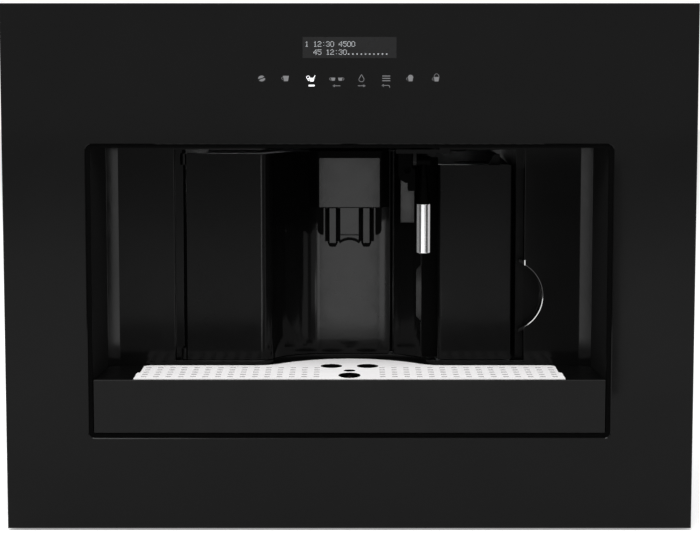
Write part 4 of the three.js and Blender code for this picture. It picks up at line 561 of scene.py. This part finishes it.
GLYPHS = {  # rows of dots, from the top
    "0": "01110 10001 10001 10001 10001 10001 01110",
    "1": "00100 01100 00100 00100 00100 00100 01110",
    "2": "01110 10001 00001 00110 01000 10000 11111",
    "3": "01110 10001 00001 00110 00001 10001 01110",
    "4": "00010 00110 01010 10010 11111 00010 00010",
    "5": "11111 10000 11110 00001 00001 10001 01110",
    ":": "00000 00100 00000 00000 00000 00100 00000",
    ".": "00000 00000 00000 00000 00000 01100 01100",
}
CHARACTER_PITCH = 3.59
DOT_PITCH = 0.66
DOT_HALF = 0.22
DISPLAY_DEPTH = (0.03, 0.1)  # front and back of the dots
LINES = [  # text, middle of the first character, height of its middle row
    ("1 12:30 4500", -36.3, 420.45),
    ("  45 12:30..........", -36.3, 413.6),
]


def make_display():
    bm = bmesh.new()
    for text, start, middle in LINES:
        for column, character in enumerate(text):
            x0 = start + column * CHARACTER_PITCH - 2 * DOT_PITCH
            for row, bits in enumerate(GLYPHS.get(character, "").split()):
                for i, bit in enumerate(bits):
                    if bit == "1":
                        x, z = x0 + i * DOT_PITCH, middle + (3 - row) * DOT_PITCH
                        box(bm, (x - DOT_HALF, x + DOT_HALF), DISPLAY_DEPTH,
                            (z - DOT_HALF, z + DOT_HALF))
    light = glow("display_light", (0.45, 0.465, 0.48), 0.45)
    piece("display_dots", bm, light, "machine")


KEY_X = [-74.8, -54.9, -32.8, -10.9, 10.2, 31.3, 51.2, 73.3]
KEY_Z = 391.2
KEY_DEPTH = (-0.03, 0.04)  # front and back of the symbols


def draw_cup(bm, x, z, width, height, side=-1):
    """A cup that narrows to its foot, with its handle to one side."""
    half = width / 2
    foot, low, high = half * 0.7, z - height / 2, z + height / 2
    outline = [(x - foot, low), (x + foot, low), (x + half, high), (x - half, high)]
    plate(bm, outline, *KEY_DEPTH)
    handle = arc(x + side * half, z + 0.2, side * 1.3, 1.0, -80, 80, 6)
    stroke(bm, handle, 0.45, *KEY_DEPTH)


def draw_arrow(bm, x, z, way):
    stroke(bm, [(x - 3.0, z), (x + 3.0, z)], 0.5, *KEY_DEPTH)
    tip = x + way * 3.6
    head = [(tip, z), (tip - way * 2.0, z + 1.15), (tip - way * 2.0, z - 1.15)]
    plate(bm, head, *KEY_DEPTH)


def make_keys():
    dim, bright = bmesh.new(), bmesh.new()
    bean, cup, chosen, two_cups, drop, bars, foam, can = KEY_X

    def line(bm, x, points, width, closed=False):
        """A stroke through points given from the middle of a symbol."""
        stroke(bm, [(x + px, KEY_Z + pz) for px, pz in points], width, *KEY_DEPTH, closed=closed)

    # a bean: two halves with the crease between them
    upper = arc(bean, KEY_Z, 3.0, 2.5, 38, 190, 12)
    upper += [(bean - 1.4, KEY_Z), (bean + 0.5, KEY_Z + 0.5)]
    plate(dim, upper, *KEY_DEPTH)
    plate(dim, [(2 * bean - x, 2 * KEY_Z - z) for x, z in upper], *KEY_DEPTH)
    # a small cup
    draw_cup(dim, cup + 0.8, KEY_Z, 5.0, 4.6)
    # the chosen cup, brightly lit, with a bar below
    draw_cup(bright, chosen + 0.7, KEY_Z - 1.0, 4.2, 3.0)
    line(bright, chosen, [(2.4, 0.4), (3.4, 2.6)], 0.5)
    line(bright, chosen, arc(-2.4, 0.9, 1.4, 1.3, 0, 360, 12), 0.36)
    line(bright, chosen, [(-1.6, -6.0), (2.6, -6.0)], 1.3)
    # two cups, an arrow to the left
    draw_cup(dim, two_cups - 3.0, KEY_Z - 0.6, 3.8, 2.6)
    draw_cup(dim, two_cups + 3.0, KEY_Z - 0.6, 3.8, 2.6, 1)
    draw_arrow(dim, two_cups, KEY_Z - 6.2, -1)
    # a drop, an arrow to the right
    line(dim, drop, arc(0, -0.8, 2.2, 2.0, 160, 380, 10) + [(0, 3.3)], 0.55, closed=True)
    draw_arrow(dim, drop, KEY_Z - 6.2, 1)
    # three bars, an arrow that turns back
    for row in (-1.9, 0.1, 2.1):
        line(dim, bars, [(-3.2, row), (3.2, row)], 0.7)
    draw_arrow(dim, bars - 0.6, KEY_Z - 5.9, -1)
    line(dim, bars, [(2.4, -5.9), (3.0, -7.6)], 0.5)
    # a cup with foam
    draw_cup(dim, foam + 0.8, KEY_Z - 0.6, 4.6, 3.6)
    plate(dim, arc(foam + 0.8, KEY_Z + 1.2, 2.2, 2.0, 0, 180, 10), *KEY_DEPTH)
    # a can with its bail
    draw_cup(dim, can + 0.8, KEY_Z - 0.6, 4.6, 3.8)
    line(dim, can, arc(0.8, 1.4, 2.0, 2.6, 0, 180, 10), 0.5)
    piece("touch_keys", dim, glow("key_light", (0.12, 0.12, 0.124), 0.6), "machine")
    piece("touch_key_chosen", bright, glow("key_light_bright", (0.85, 0.85, 0.87), 0.8),
          "machine")


# ------------------------------------------------------------------ stage, light, camera

SEEN_WORLD, DIFFUSE_WORLD = 1.0, 0.5  # the white room as seen or mirrored, and as light
FLOOR_HALF = 6.0  # half the floor's side in metres
FLOOR_TONES = (0.8, 0.8, 0.8), (0.83, 0.83, 0.83)
FLOOR_GLOW = 0.35  # added where the floor is seen or mirrored
FLAG_VARY = 0.03


def _object(name, bm):
    mesh = bpy.data.meshes.new(name)
    bm.to_mesh(mesh)
    bm.free()
    obj = bpy.data.objects.new(name, mesh)
    bpy.context.scene.collection.objects.link(obj)
    return obj


def seen_share(tree):
    """1 where the surface is seen directly, mirrored or through something clear."""
    path = tree.nodes.new("ShaderNodeLightPath")
    total = path.outputs["Is Camera Ray"]
    for name in ("Is Glossy Ray", "Is Transmission Ray"):
        total = _math(tree, "MAXIMUM", total, path.outputs[name])
    return total


def by_sight(tree, shader, strengths, out_socket):
    """Mixes two shaders of one type: the first for diffuse rays, the second where seen."""
    mix = tree.nodes.new("ShaderNodeMixShader")
    tree.links.new(seen_share(tree), mix.inputs["Fac"])
    for i, strength in enumerate(strengths, 1):
        node = tree.nodes.new(shader)
        node.inputs["Color"].default_value = (1.0, 1.0, 1.0, 1.0)
        node.inputs["Strength"].default_value = strength
        tree.links.new(node.outputs[0], mix.inputs[i])
    tree.links.new(mix.outputs[0], out_socket)


def make_world():
    world = bpy.data.worlds.new("studio")
    bpy.context.scene.world = world
    world.use_nodes = True
    tree = world.node_tree
    tree.nodes.clear()
    out = tree.nodes.new("ShaderNodeOutputWorld")
    by_sight(tree, "ShaderNodeBackground", (DIFFUSE_WORLD, SEEN_WORLD), out.inputs["Surface"])


def make_floor():
    bm = bmesh.new()
    bmesh.ops.create_grid(bm, x_segments=2, y_segments=2, size=FLOOR_HALF)
    floor = _object("floor", bm)
    mat, tree, bsdf = _new_material("pale_floor")
    patches = _range(tree, _noise(tree, _coords(tree), 3.0), 0, 1)
    tree.links.new(_blend(tree, patches, *FLOOR_TONES), bsdf.inputs["Base Color"])
    bsdf.inputs["Roughness"].default_value = 0.9
    bsdf.inputs["Specular IOR Level"].default_value = 0.1
    add = tree.nodes.new("ShaderNodeAddShader")
    out = next(n for n in tree.nodes if n.type == "OUTPUT_MATERIAL")
    tree.links.new(bsdf.outputs[0], add.inputs[0])
    by_sight(tree, "ShaderNodeEmission", (0.0, FLOOR_GLOW), add.inputs[1])
    tree.links.new(add.outputs[0], out.inputs["Surface"])
    floor.data.materials.append(mat)


def softbox(name, place, target, width, height, radiance, mirrored_only=False, only_on=()):
    """A rectangular lamp of a given radiance, not seen by the camera itself.

    It can be one that only mirrors, and one that only reaches some objects.
    """
    data = bpy.data.lights.new(name, "AREA")
    data.shape = "RECTANGLE"
    data.size, data.size_y = width, height
    data.energy = radiance * width * height * math.pi
    lamp = bpy.data.objects.new(name, data)
    bpy.context.scene.collection.objects.link(lamp)
    lamp.location = place
    lamp.rotation_mode = "QUATERNION"
    lamp.rotation_quaternion = (Vector(target) - Vector(place)).to_track_quat("-Z", "Y")
    lamp.visible_camera = False
    lamp.visible_diffuse = not mirrored_only
    if only_on:
        lit = bpy.data.collections.new(name + "_lights")
        for node in only_on:
            lit.objects.link(node)
        lamp.light_linking.receiver_collection = lit


def flag(name, corners, tone):
    """A studio flag of an even grey that only mirrors in glossy surfaces."""
    bm = bmesh.new()
    bm.faces.new([bm.verts.new(at(*c)) for c in corners])
    obj = _object(name, bm)
    mat, tree, bsdf = _new_material(name)
    grey = _noise(tree, _coords(tree), 4.0)
    bsdf.inputs["Base Color"].default_value = (0, 0, 0, 1)
    bsdf.inputs["Specular IOR Level"].default_value = 0
    bsdf.inputs["Emission Color"].default_value = (1, 1, 1, 1)
    tree.links.new(_range(tree, grey, tone * (1 - FLAG_VARY), tone * (1 + FLAG_VARY)),
                   bsdf.inputs["Emission Strength"])
    obj.data.materials.append(mat)
    obj.visible_camera = obj.visible_diffuse = obj.visible_shadow = False
    obj.visible_transmission = False


STUDIO = [  # name, place and target in metres, width, height, radiance
    ("key", (-0.25, -1.5, 2.4), (0, -0.15, 0.15), 1.7, 1.5, 9.5),
    ("fill", (1.5, -1.6, 1.5), (0, -0.1, 0.2), 1.2, 1.2, 1.2),
    ("rear", (-0.6, 2.2, 1.9), (0, 0.1, 0.2), 1.6, 1.2, 2.5),
]
CARD_Y, FLAG_Y = -600, -605  # mm in front of the glass
COLUMN = ("service_door", "spout_face_plate", "nozzle_block")
CARDS = [  # left, right, low, high, radiance and the nodes that mirror it (none named: all)
    (-39, 39, 44, 282, 7.7, COLUMN),
    (-39, 39, 2, 44, 1.9, COLUMN),
    (60, 83, 184, 256, 8.8, ("connector_cover",)),
    (60, 96, 66, 112, 8.0, ()),
]
CORNER_X, CORNER_Y = 209, 69  # middle of the bay's slanted corners
STRIPS = [  # side, distance from the corner, low, high: each where only its own corner mirrors it
    (-1, 150, 124, 316),
    (1, 350, 92, 305),
]
STRIP_ACROSS, STRIP_FORWARD = 0.883, 0.469  # direction from a corner to its strip
STRIP_SPREAD = 0.526  # a strip's width for each mm of distance
STRIP_RADIANCE = 6.1
TUBE_GLINTS = [(-1, 0.2), (1, 0.6)]  # side of the steam tube, radiance
TUBE_PLACE, TUBE_REACH = (65.5, 59, 256), 9  # between its two lamps, and from there to each
TUBE_LAMP = (0.018, 0.05)  # width and height in metres
EDGE_GLINT = ((-190, -378, 310), (170, 72, 180), 0.36, 20)  # place, target, side, radiance
FLAGS = {  # left, right, low, high, tone: upright in front of the machine
    "flag_right": (215, 320, -2, 276, 0.34),
    "flag_low_left": (-300, -95, -2, 62, 0.5),
    "flag_low_right": (95, 214, -2, 62, 0.5),
    "flag_far_left": (-1800, -480, -2, 270, 0.06),
    "flag_far_right": (560, 1930, -2, 270, 0.06),
}
SIDE_FLAGS = {"flag_side_left": -490, "flag_side_right": 490}  # running back on either side
SIDE_FLAG_Y, SIDE_FLAG_Z, SIDE_FLAG_TONE = (-600, -40), (60, 290), 0.06


def make_lights(scoop_edge):
    for name, place, target, width, height, radiance in STUDIO:
        softbox(name, place, target, width, height, radiance)
    # cards whose mirror images fill the middle of the bay
    for x0, x1, z0, z1, radiance, nodes in CARDS:
        middle = at((x0 + x1) / 2, CARD_Y, (z0 + z1) / 2)
        softbox("card", middle, middle + Vector((0, 1, 0)), (x1 - x0) * MM, (z1 - z0) * MM,
                radiance, True, [NODES[name] for name in nodes])
    # strips that draw light bands down the bay's slanted corners
    for side, away, low, high in STRIPS:
        x = side * CORNER_X - side * STRIP_ACROSS * away
        y, z = CORNER_Y - STRIP_FORWARD * away, (low + high) / 2
        softbox("strip", at(x, y, z), at(side * CORNER_X, CORNER_Y, z),
                away * STRIP_SPREAD * MM, (high - low) * MM, STRIP_RADIANCE, True,
                [NODES["bay_liner"]])
    # the glints on the steam tube's two sides and along the scoop's edge
    x, y, z = TUBE_PLACE
    for side, radiance in TUBE_GLINTS:
        place = at(x + side * TUBE_REACH, y, z)
        softbox("tube_glint", place, place - Vector((side, 0, 0)), *TUBE_LAMP, radiance, True,
                [NODES["steam_wand"]])
    place, target, size, radiance = EDGE_GLINT
    softbox("edge_glint", at(*place), at(*target), size, size, radiance, True, [scoop_edge])
    for name, (x0, x1, z0, z1, tone) in FLAGS.items():
        flag(name, [(x0, FLAG_Y, z0), (x1, FLAG_Y, z0), (x1, FLAG_Y, z1), (x0, FLAG_Y, z1)], tone)
    (y0, y1), (z0, z1) = SIDE_FLAG_Y, SIDE_FLAG_Z
    for name, x in SIDE_FLAGS.items():
        flag(name, [(x, y0, z0), (x, y1, z0), (x, y1, z1), (x, y0, z1)], SIDE_FLAG_TONE)


EYE_BACK, EYE_UP = 1.6, 0.4374  # metres from the glass's lower edge
EYE_TILT = 5.36  # degrees downward
SENSOR = 36.0
FOCAL_SHARE = 1876.0 / 700  # focal length for each unit of picture width
SHIFT = (0.0007, -0.1)  # shares of the picture's width


def make_camera():
    data = bpy.data.cameras.new("camera")
    camera = bpy.data.objects.new("camera", data)
    bpy.context.scene.collection.objects.link(camera)
    camera.location = (0, FRONT - EYE_BACK, EYE_UP + FLOOR_GAP)
    camera.rotation_euler = (math.radians(90 - EYE_TILT), 0, 0)
    data.sensor_width = SENSOR
    data.lens = FOCAL_SHARE * SENSOR
    data.shift_x, data.shift_y = SHIFT
    data.clip_start, data.clip_end = 0.01, 50
    bpy.context.scene.camera = camera


dress_nodes()
make_screws()
make_gasket()
make_shade_seals()
make_drain_sleeves()
SCOOP_EDGE = make_scoop_edge()
make_nozzle_shade_plates()
make_display()
make_keys()
make_world()
make_floor()
make_lights(SCOOP_EDGE)
make_camera()
bpy.context.scene.view_settings.view_transform = "Standard"
